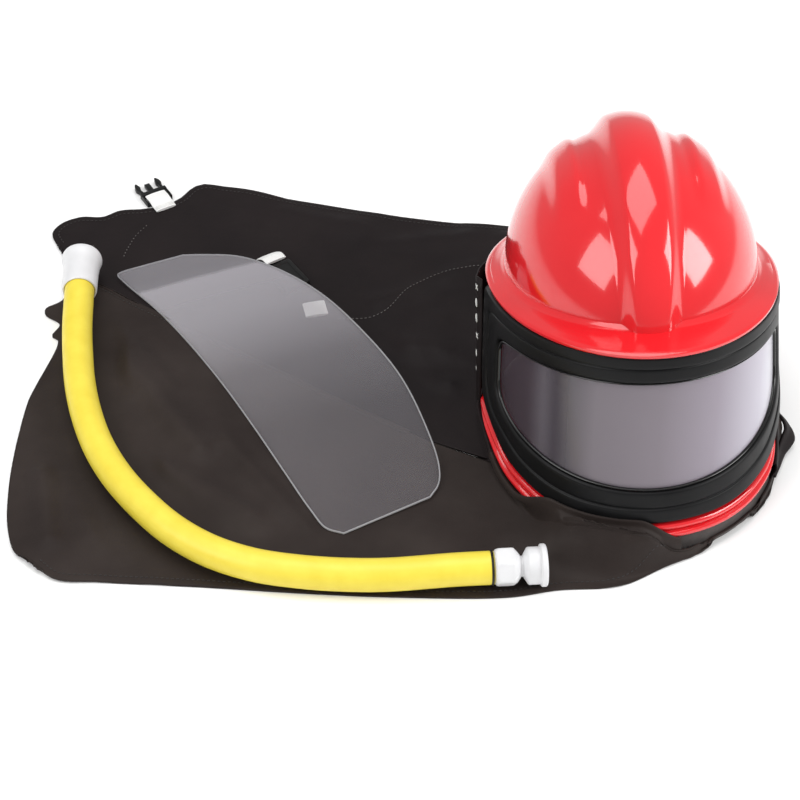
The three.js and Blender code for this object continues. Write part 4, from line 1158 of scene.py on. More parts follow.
            middle = (top + bottom) / 2
            high = middle + reach(outline.top_power) * (top - bottom) / 2
            low = middle - reach(outline.bottom_power) * (top - bottom) / 2
            sections.append([
                self.shape.placed(bearing, mix(high, low, row / rows), proud) for row in range(rows + 1)
            ])
        form = lofted(sections, ring=False, closed=False)
        bmesh.ops.recalc_face_normals(form, faces=form.faces)
        centre = self.shape.frame @ Vector((0, 0, -self.shape.window_top_depth))
        form.normal_update()
        if sum((face.calc_center_median() - centre).dot(face.normal) for face in form.faces) < 0:
            bmesh.ops.reverse_faces(form, faces=form.faces)
        return form

    def gather_form(self) -> Form:
        """Returns the gathered edge of the inner bib, a row of fine threads seen through the lens."""
        form = bmesh.new()
        # Bearing in degrees, level and thread length along the gathered edge
        rows = (
            (-46, -0.04, 0.006), (-34, -0.044, 0.007), (-22, -0.049, 0.009), (-12, -0.056, 0.011),
            (-4, -0.064, 0.012), (4, -0.068, 0.012), (12, -0.064, 0.01), (20, -0.054, 0.008),
        )
        line = catmull([Vector(row) for row in rows], 6)
        for bearing, level, length in line:
            start = self.shape.placed(math.radians(bearing), level, -self.gather_depth)
            end = self.shape.placed(math.radians(bearing + 0.5), level - length, -self.gather_depth)
            add_thread(form, (start + end) / 2, end - start, (length / 2, 0.001, 0.0006))
        return form

    def collar_form(self) -> Form:
        """Returns the cloth collar hanging from the rim, a little gathered."""
        shape = self.shape
        rows = 10
        sections = []
        for step in range(self.bearing_steps * 2):
            bearing = -math.pi + FULL_TURN * step / (self.bearing_steps * 2)
            rim = shape.rim(bearing)
            top = mix(rim - GAP, rim + 0.016, shape.collar_climb(bearing))
            bottom = shape.collar_bottom(bearing)
            inside = shape.collar_proud(bearing)
            wide_pucker = noise.noise(Vector((bearing * 9, 0, 0))) * 0.6
            pucker = wide_pucker + noise.noise(Vector((bearing * 23, 7, 0))) * 0.4
            section = []
            for row in range(rows + 1):
                share = row / rows
                proud = inside + CLOTH * 0.75 + 0.0007 * pucker * math.sin(math.pi * share)
                section.append(shape.placed(bearing, mix(top, bottom, share), proud))
            sections.append(section)
        return skinned(sections, ring=True, closed=False)

    def cover_stand(self, bearing: float) -> float:
        """Returns how far the rear cloth skin stands off the shell: it flares at its left front edge."""
        behind = -math.degrees(bearing)
        if behind < 0:
            return self.cover_stand_off
        flare = smooth_step(behind, 90, 95) * (1 - smooth_step(behind, 97, 122))
        edge = self.cover_edge_lift * (1 - smooth_step(behind, 90, 96))
        return mix(self.cover_stand_off, self.cover_flare, flare) + edge

    def cover_form(self) -> Form:
        """Returns the cloth skin sewn over the back of the face shell, from the brim to the rim."""
        shape = self.shape
        rows = 14
        columns = 170
        sections = []
        for step in range(columns + 1):
            bearing = math.radians(mix(94, 269.8, step / columns))
            wrapped = math.atan2(math.sin(bearing), math.cos(bearing))
            top = shape.brim_under(wrapped) - 0.0015
            bottom = shape.rim(wrapped) + 0.002
            section = []
            for row in range(rows + 1):
                share = row / rows
                ripple = noise.noise(Vector((bearing * 5, share * 2.2, 3)))
                stand = self.cover_stand(wrapped) * (1 - 0.25 * share) + 0.0012 * (0.5 + ripple)
                section.append(shape.placed(wrapped, mix(top, bottom, share), stand))
            sections.append(section)
        return skinned(sections, ring=False, closed=False)

    def cover_stitch_form(self) -> Form:
        """Returns the white stitches down the cloth skin's left front edge, with two cross tacks."""
        shape = self.shape
        form = bmesh.new()
        bearing = math.radians(-93.2)
        top, low = shape.brim_under(bearing) - 0.006, shape.rim(bearing) + 0.02

        def sewn(start: Pair, end: Pair, thread: float) -> None:
            """Adds a stitch between two points of a share down the edge and a bearing in degrees."""
            ends = []
            for share, degrees in (start, end):
                stand = self.cover_stand(math.radians(degrees)) * (1 - 0.25 * share) + self.cover_stand_off
                ends.append(shape.placed(math.radians(degrees), mix(top, low, share), stand))
            run = ends[1] - ends[0]
            add_thread(form, (ends[0] + ends[1]) / 2, run, (run.length / 2, thread, thread), 2)

        for start, end in ((0.16, 0.25), (0.31, 0.4), (0.66, 0.75), (0.81, 0.9)):
            sewn((start, -93.4), (end, -93), 0.0009)
        for share in (0.05, 0.53):
            sewn((share - 0.03, -93.6), (share + 0.03, -92.4), 0.0005)
            sewn((share - 0.03, -92.4), (share + 0.03, -93.6), 0.0005)
        return form

    def wrap_cover(self, bearing: float) -> float:
        """Returns how much of the lip the cape's edge hides, by bearing."""
        degrees = math.degrees(bearing)
        if degrees > 30:
            return 1.04 * smooth_step(degrees, 62, 76)
        left = mix(0.5, 0.02, smooth_step(degrees, -90, -62))
        chin = mix(left, 1.4, smooth_step(degrees, -54, -36))
        return chin * (1 - smooth_step(degrees, -5, 12))

    def wrap_form(self, start: float, end: float, columns: int) -> Form:
        """Returns a length of the cape's edge where it climbs over the lip.

        Args:
            start: The bearing in degrees where it starts.
            end: The bearing in degrees where it ends.
            columns: How many steps it has.

        Returns:
            An open sheet.
        """
        shape = self.shape
        sections = []
        for step in range(columns + 1):
            degrees = mix(start, end, step / columns)
            bearing = math.radians(degrees)
            cover = self.wrap_cover(bearing)
            low, high = shape.lip_foot(bearing), shape.lip_top(bearing)
            bead = shape.lip_proud * max(self.wrap_thinnest, shape.lip_share(bearing))
            ripple = self.wrap_ripple * noise.noise(Vector((bearing * 12, 1, 0)))
            crest = bead + self.wrap_stand + ripple
            tuck = shape.placed(bearing, mix(low, high, cover) - 0.0014, crest - 0.004)
            top = shape.placed(bearing, mix(low, high, cover), crest - 0.0006)
            brow = shape.placed(bearing, mix(low, high, cover - 0.35), crest + 0.0008)
            foot = shape.collar_foot(bearing)
            out = Vector((foot.x - HELMET_X, foot.y - HELMET_Y, 0)).normalized()
            reach = mix(*self.wrap_reach, smooth_step(degrees, -42, -14)) * (1 - smooth_step(degrees, -4, 9))
            knee = foot + out * self.wrap_knee * reach + Vector((0, 0, 0.0012))
            knee.z = min(knee.z, brow.z - 0.002)
            (shin_out, shin_share), (toe_out, toe_share) = self.wrap_shin, self.wrap_toe
            shin, toe = foot + out * shin_out * reach, foot + out * toe_out * reach
            shin.z = CLOTH + (foot.z - CLOTH) * (1 - shin_share * reach) ** DRAPE_POWER
            toe_fall = (foot.z - CLOTH) * (1 - toe_share * reach) ** DRAPE_POWER
            toe.z = max(0.0004, CLOTH + toe_fall - self.wrap_toe_sink)
            sections.append(catmull([tuck, top, brow, knee, shin, toe], 6))
        return faced_up(lofted(sections, ring=False, closed=False))

    def tab_form(self) -> Form:
        """Returns the folded cloth tab on the cape's right edge."""
        rows = (
            (0.3075, -0.03, 0.02), (0.3105, -0.038, 0.021), (0.3165, -0.046, 0.018), (0.3185, -0.053, 0.014),
            (0.315, -0.06, 0.011), (0.3105, -0.068, 0.009), (0.3045, -0.084, 0.008), (0.3, -0.094, 0.007),
        )
        line = catmull([Vector(row) for row in rows], 7)
        sections = []
        for index, point in enumerate(line):
            wide = mix(1, 0.45, smooth_step(abs(2 * index / len(line) - 0.8), 0.1, 1))
            sections.append([
                point + Vector((-0.0045 * share, 0.001 * math.cos(3 * share), 0.0062 * share)) * wide
                for share in np.linspace(-1, 1, 9)
            ])
        return skinned(sections, ring=False, closed=False)

    def build(self) -> None:
        """Builds and dresses the helmet's pieces."""
        bench = self.bench
        dome = bench.keep("helmet_dome_shell", self.dome_form(), SHELL_RED, Slot.SHELL, ["helmet_dome"])
        bench.thicken(dome, self.shape.wall, -1)
        bench.keep("helmet_brim", self.brim_form(), SHELL_RED, Slot.SHELL, ["helmet_dome"])
        shell = bench.keep("face_shell_skin", self.shell_form(), SHELL_RED, Slot.SHELL, ["face_shell"])
        bench.thicken(shell, self.shape.wall, 0)
        bench.keep("face_shell_lip", self.lip_form(), SHELL_RED, Slot.SHELL, ["face_shell"])
        bench.keep("window_frame_band", self.window_frame_form(), FRAME_BLACK, Slot.FRAME, ["window_frame"])
        bench.keep("window_gasket_bead", self.gasket_form(), GASKET_BLACK, Slot.GASKET, ["window_gasket"])
        lens = self.lens_form(self.shape.lens_tuck, self.shape.seat_gap + self.shape.lens_thickness)
        pane = bench.keep("window_lens_pane", lens, WINDOW_CLEAR, Slot.LENS, ["window_lens"])
        bench.thicken(pane, self.shape.lens_thickness, -1)
        bench.keep("bib_gathers", self.gather_form(), THREAD_WHITE, Slot.WEBBING)
        collar = bench.keep("collar_band", self.collar_form(), CLOTH_COLLAR, Slot.COLLAR, ["cape_collar"])
        bench.thicken(collar, self.cloth_wall, 0)
        cover = bench.keep("shell_cover", self.cover_form(), CLOTH_BACK, Slot.CAPE_BACK)
        bench.thicken(cover, self.cover_wall, 0)
        bench.keep("shell_cover_stitches", self.cover_stitch_form(), THREAD_WHITE, Slot.WEBBING)
        wraps = (
            ("cape_edge_back", -104, -69, 90, CLOTH_BACK, Slot.CAPE_BACK),
            ("cape_edge_chin", -70, 10, 190, CLOTH_FRONT, Slot.CAPE_FRONT),
            ("cape_edge_right", 60, 106, 90, CLOTH_BACK, Slot.CAPE_BACK),
        )
        for name, start, end, columns, cloth, slot in wraps:
            wrap = bench.keep(name, self.wrap_form(start, end, columns), cloth, slot)
            bench.thicken(wrap, self.cloth_wall, -1)
        tab = bench.keep("side_tab", self.tab_form(), CLOTH_BACK, Slot.CAPE_BACK)
        bench.thicken(tab, self.tab_wall, 0)


@dataclass
class Cape:
    """The cape: two panels joined along a seam, spread on the ground and gathered on the collar."""

    shape: HelmetShape
    bench: Workbench
    drape_run: float = 0.046
    hem_samples: int = 1500
    seam_bearing: float = -70.0
    right_bearing: float = 88.0
    columns: int = 300
    rows: int = 110
    sheet_thickness: float = 0.0015
    front_flat: Pair = (0.64, 0.37)
    back_flat: Pair = (0.65, 0.41)
    hose_rest: float = 0.022
    rest_ease: float = 0.022
    foot_blend: float = 0.007
    hem_calm: Pair = (0.05, 0.75)
    fold_steepness: float = 1.6
    pleat_height: float = 0.0032
    pleat_count: int = 21
    pleat_drift: tuple[float, int] = (2.2, 5)
    pleat_start: Pair = (0.0, 0.008)
    pleat_end: Pair = (0.03, 0.085)
    calm_start: Pair = (-128, -112)
    calm_end: Pair = (14, 34)
    wave_height: float = 0.003
    wave_floor: float = 0.1
    hem_behind: float = 0.03
    hem_ease: int = 39
    hem_smoothing: int = 10

    def __post_init__(self) -> None:
        """Works out the cape's edge on the collar and its front hem."""
        angles = [-math.pi + FULL_TURN * step / 240 for step in range(240)]
        self.foot = np.array([tuple(self.shape.collar_foot(angle)) for angle in angles])
        self.hem = [(point.x, point.y) for point in spaced(self.edge(FRONT_HEM), 60)]

    @staticmethod
    def ground(row: Pair) -> Vector:
        """Returns an edge table's point on the ground."""
        return Vector((HELMET_X + row[0] * CAPE_SPREAD, HELMET_Y + row[1] * CAPE_SPREAD, 0))

    def edge(self, rows: Sequence[Pair]) -> list[Vector]:
        """Returns a smooth edge through a table's points."""
        return catmull([self.ground(row) for row in rows], 10)

    def foot_run(self, start: float, end: float) -> list[Vector]:
        """Returns the collar's foot on the ground between two bearings in degrees."""
        points = []
        for step in range(161):
            bearing = math.radians(mix(start, end, step / 160))
            point = self.shape.collar_foot(math.atan2(math.sin(bearing), math.cos(bearing)))
            points.append(Vector((point.x, point.y, 0)))
        return points

    @staticmethod
    def line_distance(x: np.ndarray, y: np.ndarray, ends: Sequence[float]) -> np.ndarray:
        """Returns each point's distance from a straight line between two ends."""
        from_x, from_y, to_x, to_y = ends
        run_x, run_y = to_x - from_x, to_y - from_y
        share = ((x - from_x) * run_x + (y - from_y) * run_y) / (run_x**2 + run_y**2)
        share = np.clip(share, 0, 1)
        return np.hypot(x - from_x - share * run_x, y - from_y - share * run_y)

    @staticmethod
    def rise(values: np.ndarray, low: float, high: float) -> np.ndarray:
        """Returns 0 below low, 1 above high and a smooth rise between them."""
        share = np.clip((values - low) / (high - low), 0, 1)
        return share * share * (3 - 2 * share)

    def freedom(self, x: np.ndarray, y: np.ndarray) -> np.ndarray:
        """Returns 1 where the cloth may lift and 0 under the pieces that lie on it."""
        free = np.ones_like(x)
        hose = [(*a[:2], *b[:2], self.hose_rest) for a, b in zip(HOSE_ROUTE, HOSE_ROUTE[1:])]
        for *ends, half_width in (*hose, *CAPE_RESTS):
            distance = self.line_distance(x, y, ends)
            free *= self.rise(distance, half_width, half_width + self.rest_ease)
        return free

    def height(self, x: np.ndarray, y: np.ndarray) -> np.ndarray:
        """Returns the cloth's top above the ground at each point."""
        starts, ends = self.foot, np.roll(self.foot, -1, axis=0)
        from_x, from_y, from_z = (starts[:, axis, None, None] for axis in range(3))
        run_x, run_y, run_z = ((ends - starts)[:, axis, None, None] for axis in range(3))
        share = np.clip(((x - from_x) * run_x + (y - from_y) * run_y) / (run_x**2 + run_y**2), 0, 1)
        distance = np.hypot(x - from_x - share * run_x, y - from_y - share * run_y)
        nearest = distance.min(axis=0)
        foot_turn = distance.argmin(axis=0) / len(self.foot)
        weight = np.exp((nearest - distance) / self.foot_blend)
        foot_height = (weight * (from_z + share * run_z)).sum(axis=0) / weight.sum(axis=0)
        hem_gap = np.full(x.shape, np.inf)
        for start, end in zip(self.hem, self.hem[1:]):
            hem_gap = np.minimum(hem_gap, self.line_distance(x, y, (*start, *end)))
        fall = np.clip(1 - nearest / self.drape_run, 0, 1) ** DRAPE_POWER
        fall *= self.rise(hem_gap / (hem_gap + nearest + 1e-6), *self.hem_calm)
        height = CLOTH + (foot_height - CLOTH) * fall
        free = self.freedom(x, y)
        ease = free * (1 - fall)
        for from_x, from_y, to_x, to_y, lift, width in CAPE_FOLDS:
            distance = self.line_distance(x, y, (from_x, from_y, to_x, to_y))
            height += lift * np.exp(-((distance / width) ** 2) * self.fold_steepness) * ease
        near_foot = self.rise(nearest, *self.pleat_start) * (1 - self.rise(nearest, *self.pleat_end))
        drift, drift_count = self.pleat_drift
        drifted = drift * np.sin(foot_turn * FULL_TURN * drift_count)
        pleats = 0.5 + 0.5 * np.sin(foot_turn * FULL_TURN * self.pleat_count + drifted)
        turn = foot_turn * 360 - 180
        calm = self.rise(turn, *self.calm_start) * (1 - self.rise(turn, *self.calm_end))
        height += self.pleat_height * pleats * near_foot * free * (1 - calm)
        waves = np.array([
            noise.noise(Vector((px * 13, py * 16, 0.4))) + 0.5 * noise.noise(Vector((px * 31, py * 27, 2.0)))
            for px, py in zip(x.flat, y.flat)
        ]).reshape(x.shape)
        height += self.wave_height * np.maximum(0, waves + self.wave_floor) * ease
        return height

    def panel_points(
        self, inner: Line, outer: Line, start: Line, shift: float,
    ) -> tuple[np.ndarray, np.ndarray]:
        """Spreads a panel between its edges.

        Args:
            inner: Points along the seam and the collar.
            outer: As many points along the hem.
            start: Points along the left edge, from the seam to the hem.
            shift: How far the first row moves along Y, to clear the other panel.

        Returns:
            The x and y of every point, a row for each point of inner.
        """
        near = np.array([tuple(point)[:2] for point in inner])
        far = np.array([tuple(point)[:2] for point in outer])
        left = np.array([tuple(point)[:2] for point in start])
        v = np.linspace(0, 1, len(left))[None, :, None]
        u = np.linspace(0, 1, len(near))[:, None, None]
        bulge = left[None] - (left[0] * (1 - v) + left[-1] * v)
        points = near[:, None] * (1 - v) + far[:, None] * v + bulge * (1 - u) ** 4
        points[:, 0, 1] += shift
        return points[..., 0], points[..., 1]

    def panel_form(
        self, inner: Line, outer: Line, start: Line, shift: float,
    ) -> Form:
        """Returns a panel's top skin; the arguments are those of panel_points."""
        x, y = self.panel_points(inner, outer, start, shift)
        z = self.height(x, y)
        sections = [
            [Vector(point) for point in zip(xs, ys, zs)]
            for xs, ys, zs in zip(x.tolist(), y.tolist(), z.tolist())
        ]
        return faced_up(lofted(sections, ring=False, closed=False))

    def paired_edges(
        self, hem: Line, start: float, end: float,
    ) -> tuple[list[Vector], list[Vector]]:
        """Pairs a panel's inner edge with its hem, so that the lines between them don't cross.

        Args:
            hem: The hem, from the left to the right.
            start: The bearing in degrees where the panel's collar edge starts.
            end: The bearing in degrees where it ends.

        Returns:
            Points along the seam and the collar, and as many points along the hem.
        """
        seam = spaced(self.edge(SEAM), self.columns // 2)
        foot = spaced(self.foot_run(start, end), self.columns // 2)
        dense = np.array([tuple(point)[:2] for point in spaced(hem, self.hem_samples)])
        shares = []
        for point in foot:
            out = np.array((point.x - HELMET_X, point.y - HELMET_Y))
            out /= np.hypot(*out)
            away = dense - (point.x, point.y)
            aside = np.abs(away[:, 0] * out[1] - away[:, 1] * out[0])
            ahead = np.where(away @ out > -self.hem_behind, aside, np.inf)
            shares.append(int(np.argmin(ahead)) / (len(dense) - 1))
        along_seam = [shares[0] * step / (len(seam) + 6) for step in range(len(seam))]
        shares = np.maximum.accumulate([*along_seam, *shares])
        last = self.hem_ease
        ease = np.clip(np.arange(len(shares)) - len(shares) + last + 1, 0, last) / last
        shares = shares + (1 - shares[-1]) * ease
        span = 2 * self.hem_smoothing + 1
        padded = np.pad(shares, self.hem_smoothing, mode="reflect", reflect_type="odd")
        smooth = np.convolve(padded, np.ones(span) / span, mode="valid")
        places = np.clip(smooth, 0, 1) * (len(dense) - 1)
        x, y = (np.interp(places, np.arange(len(dense)), dense[:, axis]) for axis in range(2))
        return [*seam, *foot], [Vector((px, py, 0)) for px, py in zip(x, y)]

    def front_form(self) -> Form:
        """Returns the front panel, from the seam and the chin to the hem."""
        inner, outer = self.paired_edges(self.edge(FRONT_HEM), self.seam_bearing, self.right_bearing - 1)
        start = spaced(self.edge(FRONT_LEFT_EDGE), self.rows)
        return self.panel_form(inner, outer, start, -0.0004)

    def back_form(self) -> Form:
        """Returns the rear panel, from the seam and round the back of the collar to the hem."""
        inner, outer = self.paired_edges(self.edge(BACK_HEM), self.seam_bearing - 1, self.right_bearing - 360)
        start = spaced(self.edge(BACK_LEFT_EDGE), self.rows)
        return self.panel_form(inner, outer, start, 0.0004)

    def on_cloth(self, line: Line, lift: float) -> list[Vector]:
        """Returns a line of ground points lifted on to the cloth."""
        x = np.array([point.x for point in line])
        y = np.array([point.y for point in line])
        z = self.height(x[None], y[None])[0]
        return [Vector((px, py, pz + lift)) for px, py, pz in zip(x, y, z)]

    @staticmethod
    def beside(line: Line, distance: float) -> list[Vector]:
        """Returns a line moved sideways, to the right of its direction."""
        moved = []
        for index, point in enumerate(line):
            along = line[min(index + 1, len(line) - 1)] - line[max(index - 1, 0)]
            side = Vector((along.y, -along.x, 0)).normalized()
            moved.append(point + side * distance)
        return moved

    def roll_form(self, line: Line, width: float, height: float) -> Form:
        """Returns a low rolled strip of cloth along a line, as over a seam or a hem.

        Args:
            line: The strip's middle, on the ground.
            width: Half the strip's width.
            height: How far it stands out of the cloth.

        Returns:
            An open strip.
        """
        middle = self.on_cloth(line, 0)
        sections = []
        for index, point in enumerate(middle):
            along = middle[min(index + 1, len(middle) - 1)] - middle[max(index - 1, 0)]
            side = Vector((along.y, -along.x, 0)).normalized()
            section = []
            for step in range(9):
                share = step / 4 - 1
                crown = height * math.sqrt(max(0.0, 1 - share * share)) - 0.0003
                section.append(point + side * share * width + Vector((0, 0, crown)))
            sections.append(section)
        return faced_up(lofted(sections, ring=False, closed=False))

    def build(self) -> None:
        """Builds and dresses the cape's pieces."""
        bench = self.bench
        seam = spaced(self.edge(SEAM), 150)
        front_hem = self.beside(spaced(self.edge(FRONT_HEM), 300), -0.006)
        back_hem = self.beside(spaced(self.edge(BACK_HEM), 340), 0.006)
        front = bench.keep(
            "cape_front_panel", self.front_form(), CLOTH_FRONT, Slot.CAPE_FRONT, ["cape_front"],
        )
        back = bench.keep("cape_back_panel", self.back_form(), CLOTH_BACK, Slot.CAPE_BACK, ["cape_back"])
        for panel in (front, back):
            bench.thicken(panel, self.sheet_thickness, -1)
        rolled = self.roll_form(seam[6:-8], 0.0022, 0.0011)
        roll = bench.keep("cape_seam_roll", rolled, CLOTH_FRONT, Slot.CAPE_FRONT)
        rows = {
            "cape_seam_stitches": (self.beside(seam, 0.0035)[6:-8], 0.0026, 0.0036, THREAD_DARK),
            "cape_front_hem_stitches": (front_hem[3:-20], 0.0026, 0.004, THREAD_DARK),
            "cape_back_hem_stitches": (back_hem[3:-20], 0.0026, 0.004, THREAD_DARK),
            "cape_dotted_seam": (spaced(self.edge(DOTTED_SEAM), 40), 0.0018, 0.0042, THREAD_GREY),
            "cape_cross_seam": (spaced(self.edge(STITCHED_SEAM), 90), 0.0026, 0.0038, THREAD_GREY),
        }
        for name, (line, length, pitch, thread) in rows.items():
            form = stitch_run(self.on_cloth(line, 0.0002), length, pitch, 0.0005)
            bench.keep(name, form, thread, Slot.CAPE_BACK)


@dataclass
class AirHose:
    """The air hose with its cup and its coupling."""

    bench: Workbench
    diameter: float = 0.026
    cup_length: float = 0.032
    sleeve_length: float = 0.013
    cup_mouth_radius: float = 0.018
    cup_body_radius: float = 0.016
    cup_bore_radius: float = 0.0125
    cup_bore_depth: float = 0.02
    coupling_length: float = 0.04
    coupling_radius: float = 0.0165
    nut_radius: float = 0.0153
    neck_radius: float = 0.008
    bore_radius: float = 0.009
    bore_depth: float = 0.014
    sides: int = 72

    def route(self) -> list[Vector]:
        """Returns the hose's centre line."""
        return catmull([Vector((x, y, z + CLOTH)) for x, y, z in HOSE_ROUTE], 9)

    def hose(self) -> bpy.types.Object:
        """Makes the hose as a curve of one open spline."""
        points = self.route()
        curve = bpy.data.curves.new("air_hose", "CURVE")
        curve.dimensions = "3D"
        curve.bevel_depth = self.diameter / 2
        curve.bevel_resolution = 10
        curve.use_fill_caps = True
        line = curve.splines.new("POLY")
        line.points.add(len(points) - 1)
        for spot, point in zip(line.points, points):
            spot.co = (*point, 1)
        line.use_smooth = True
        piece = linked("air_hose", curve)
        return self.bench.dress(piece, HOSE_YELLOW, Slot.HOSE, ["hose"])

    @staticmethod
    def seat(form: Form, base: Vector, direction: Vector) -> Form:
        """Moves a fitting made along +Y to its base, along a direction."""
        turn = Vector((0, 1, 0)).rotation_difference(direction.normalized()).to_matrix().to_4x4()
        place = Matrix.Translation(base + direction.normalized() * GAP) @ turn
        bmesh.ops.transform(form, matrix=place, verts=form.verts)
        return form

    def cup_form(self) -> Form:
        """Returns the cup with its flared, rounded mouth."""
        body, mouth, long = self.cup_body_radius, self.cup_mouth_radius, self.cup_length
        bore = self.diameter / 2 + GAP
        sleeve = -self.sleeve_length
        inside, floor = self.cup_bore_radius, long - self.cup_bore_depth
        profile = (
            (0, 0), (bore, 0), (bore, sleeve + 0.0004), (bore + 0.0005, sleeve), (body - 0.0016, sleeve),
            (body - 0.0009, sleeve + 0.0006), (body - 0.0007, sleeve + 0.0016), (body - 0.0006, 0),
            (body - 0.0004, long * 0.3), (body, long * 0.5), (body + 0.0004, long * 0.66),
            (body + 0.001, long * 0.74), (mouth - 0.0004, long * 0.8), (mouth, long * 0.85),
            (mouth, long - 0.0026), (mouth - 0.0004, long - 0.0012), (mouth - 0.0013, long - 0.0003),
            (mouth - 0.0024, long), (inside + 0.0008, long), (inside, long - 0.0008),
            (inside - 0.0004, floor + 0.001), (inside - 0.002, floor), (0, floor),
        )
        return turned(profile, self.sides)

    def coupling_form(self) -> Form:
        """Returns the coupling: a hexagonal nut, a neck, a round collar and an end flange."""
        nut, neck, long = self.nut_radius, self.neck_radius, self.coupling_length
        collar = self.nut_radius - 0.0008
        flange, bore = self.coupling_radius, self.bore_radius
        profile = (
            (0, 0), (nut - 0.004, 0), (nut - 0.0026, 0.0004), (nut - 0.0012, 0.0016), (nut - 0.0004, 0.0034),
            (nut, 0.0046), (nut, long * 0.2), (nut, long * 0.34), (nut - 0.0006, long * 0.38),
            (nut - 0.0028, long * 0.43), (neck + 0.0014, long * 0.49), (neck, long * 0.51),
            (neck, long * 0.55), (neck + 0.0014, long * 0.565), (collar - 0.0022, long * 0.61),
            (collar - 0.0006, long * 0.635), (collar, long * 0.66), (collar, long * 0.84),
            (collar, long * 0.87), (flange - 0.0006, long * 0.885), (flange, long * 0.9),
            (flange, long - 0.001), (flange - 0.0008, long), (bore + 0.0008, long),
            (bore, long - 0.0008), (bore, long - self.bore_depth), (0, long - self.bore_depth),
        )
        form = turned(profile, self.sides)
        sixth = FULL_TURN / 6
        for vertex in form.verts:
            radius = math.hypot(vertex.co.x, vertex.co.z)
            if vertex.co.y < long * 0.4 and radius > neck:
                turn = math.atan2(vertex.co.z, vertex.co.x) % sixth
                flat = nut * math.cos(sixth / 2) * 1.02 / math.cos(turn - sixth / 2)
                if radius > flat:
                    vertex.co.x *= flat / radius
                    vertex.co.z *= flat / radius
        return form

    def band_form(self, base: Vector, direction: Vector) -> Form:
        """Returns the thin dark clamp ring round the hose's end."""
        radius = self.diameter / 2
        profile = (
            (0, 0), (radius + 0.0002, 0), (radius + 0.0005, 0.0004), (radius + 0.0005, 0.0016),
            (radius + 0.0002, 0.002), (0, 0.002),
        )
        form = turned(profile, self.sides)
        return self.seat(form, base - direction.normalized() * 0.0026, direction)

    def build(self) -> None:
        line = self.route()
        towards_cup, towards_end = line[0] - line[1], line[-1] - line[-2]
        hose = self.hose()
        cup = self.seat(self.cup_form(), line[0], towards_cup)
        self.bench.keep("hose_cup_body", cup, FITTING_WHITE, Slot.FITTING, ["hose_cup"])
        coupling = self.seat(self.coupling_form(), line[-1], towards_end)
        end = self.bench.keep("hose_coupling_body", coupling, FITTING_WHITE, Slot.FITTING, ["hose_coupling"])
        band = self.band_form(line[-1], towards_end)
        ring = self.bench.keep("hose_end_ring", band, BUCKLE_BLACK, Slot.BUCKLE)


@dataclass
class SpareLens:
    """The spare lens, lying on the cape with one edge up on the buckle."""

    bench: Workbench
    x: float = -0.2
    y: float = 0.162
    bearing: float = -58.0
    length: float = 0.38
    width: float = 0.134
    prop: float = 0.015
    thickness: float = 0.0015

    def point(self, along: float, across: float, lift: float) -> Vector:
        """Returns a point on the sheet's underside."""
        turn = math.radians(self.bearing)
        return Vector((
            self.x + along * self.length * math.cos(turn) - across * self.width * math.sin(turn),
            self.y + along * self.length * math.sin(turn) + across * self.width * math.cos(turn),
            CLOTH + GAP + lift * self.prop,
        ))

    def edges(self) -> tuple[list[Vector], list[Vector]]:
        """Returns smooth left and right edges."""
        left = catmull([self.point(row[0], row[1], row[4]) for row in SPARE_ROWS], 12)
        right = catmull([self.point(row[2], row[3], row[5]) for row in SPARE_ROWS], 12)
        return left, right

    def sheet_form(self) -> Form:
        """Returns the sheet's underside, bowed a little between its edges."""
        sections = []
        for a, b in zip(*self.edges()):
            sections.append([a.lerp(b, step / 24) for step in range(25)])
        return faced_up(lofted(sections, ring=False, closed=False))

    def rim_form(self) -> Form:
        """Returns the rim round the sheet, its light colour a painted highlight along the edge."""
        left, right = self.edges()
        start = [left[0].lerp(right[0], step / 12) for step in range(1, 12)]
        end = [right[-1].lerp(left[-1], step / 12) for step in range(1, 12)]
        loop = [*reversed(left), *start, *right, *end]
        middle = sum(loop, Vector()) / len(loop)
        sections = []
        for index, point in enumerate(loop):
            along = loop[(index + 1) % len(loop)] - loop[index - 1]
            side = Vector((along.y, -along.x, 0)).normalized()
            if side.dot(point - middle) < 0:
                side = -side
            centre = point + Vector((0, 0, self.thickness / 2))
            sections.append([
                centre + side * (0.0007 * math.cos(turn)) + Vector((0, 0, 0.00095 * math.sin(turn)))
                for turn in np.linspace(0, FULL_TURN, 8, endpoint=False)
            ])
        return skinned(sections, ring=True, closed=True)

    def build(self) -> None:
        """Builds and dresses the lens and its rim."""
        sheet = self.bench.keep("spare_lens_sheet", self.sheet_form(), SPARE_CLEAR, Slot.LENS, ["spare_lens"])
        self.bench.thicken(sheet, self.thickness, 1)
        self.bench.keep("spare_lens_rim", self.rim_form(), RIM_CLEAR, Slot.LENS)


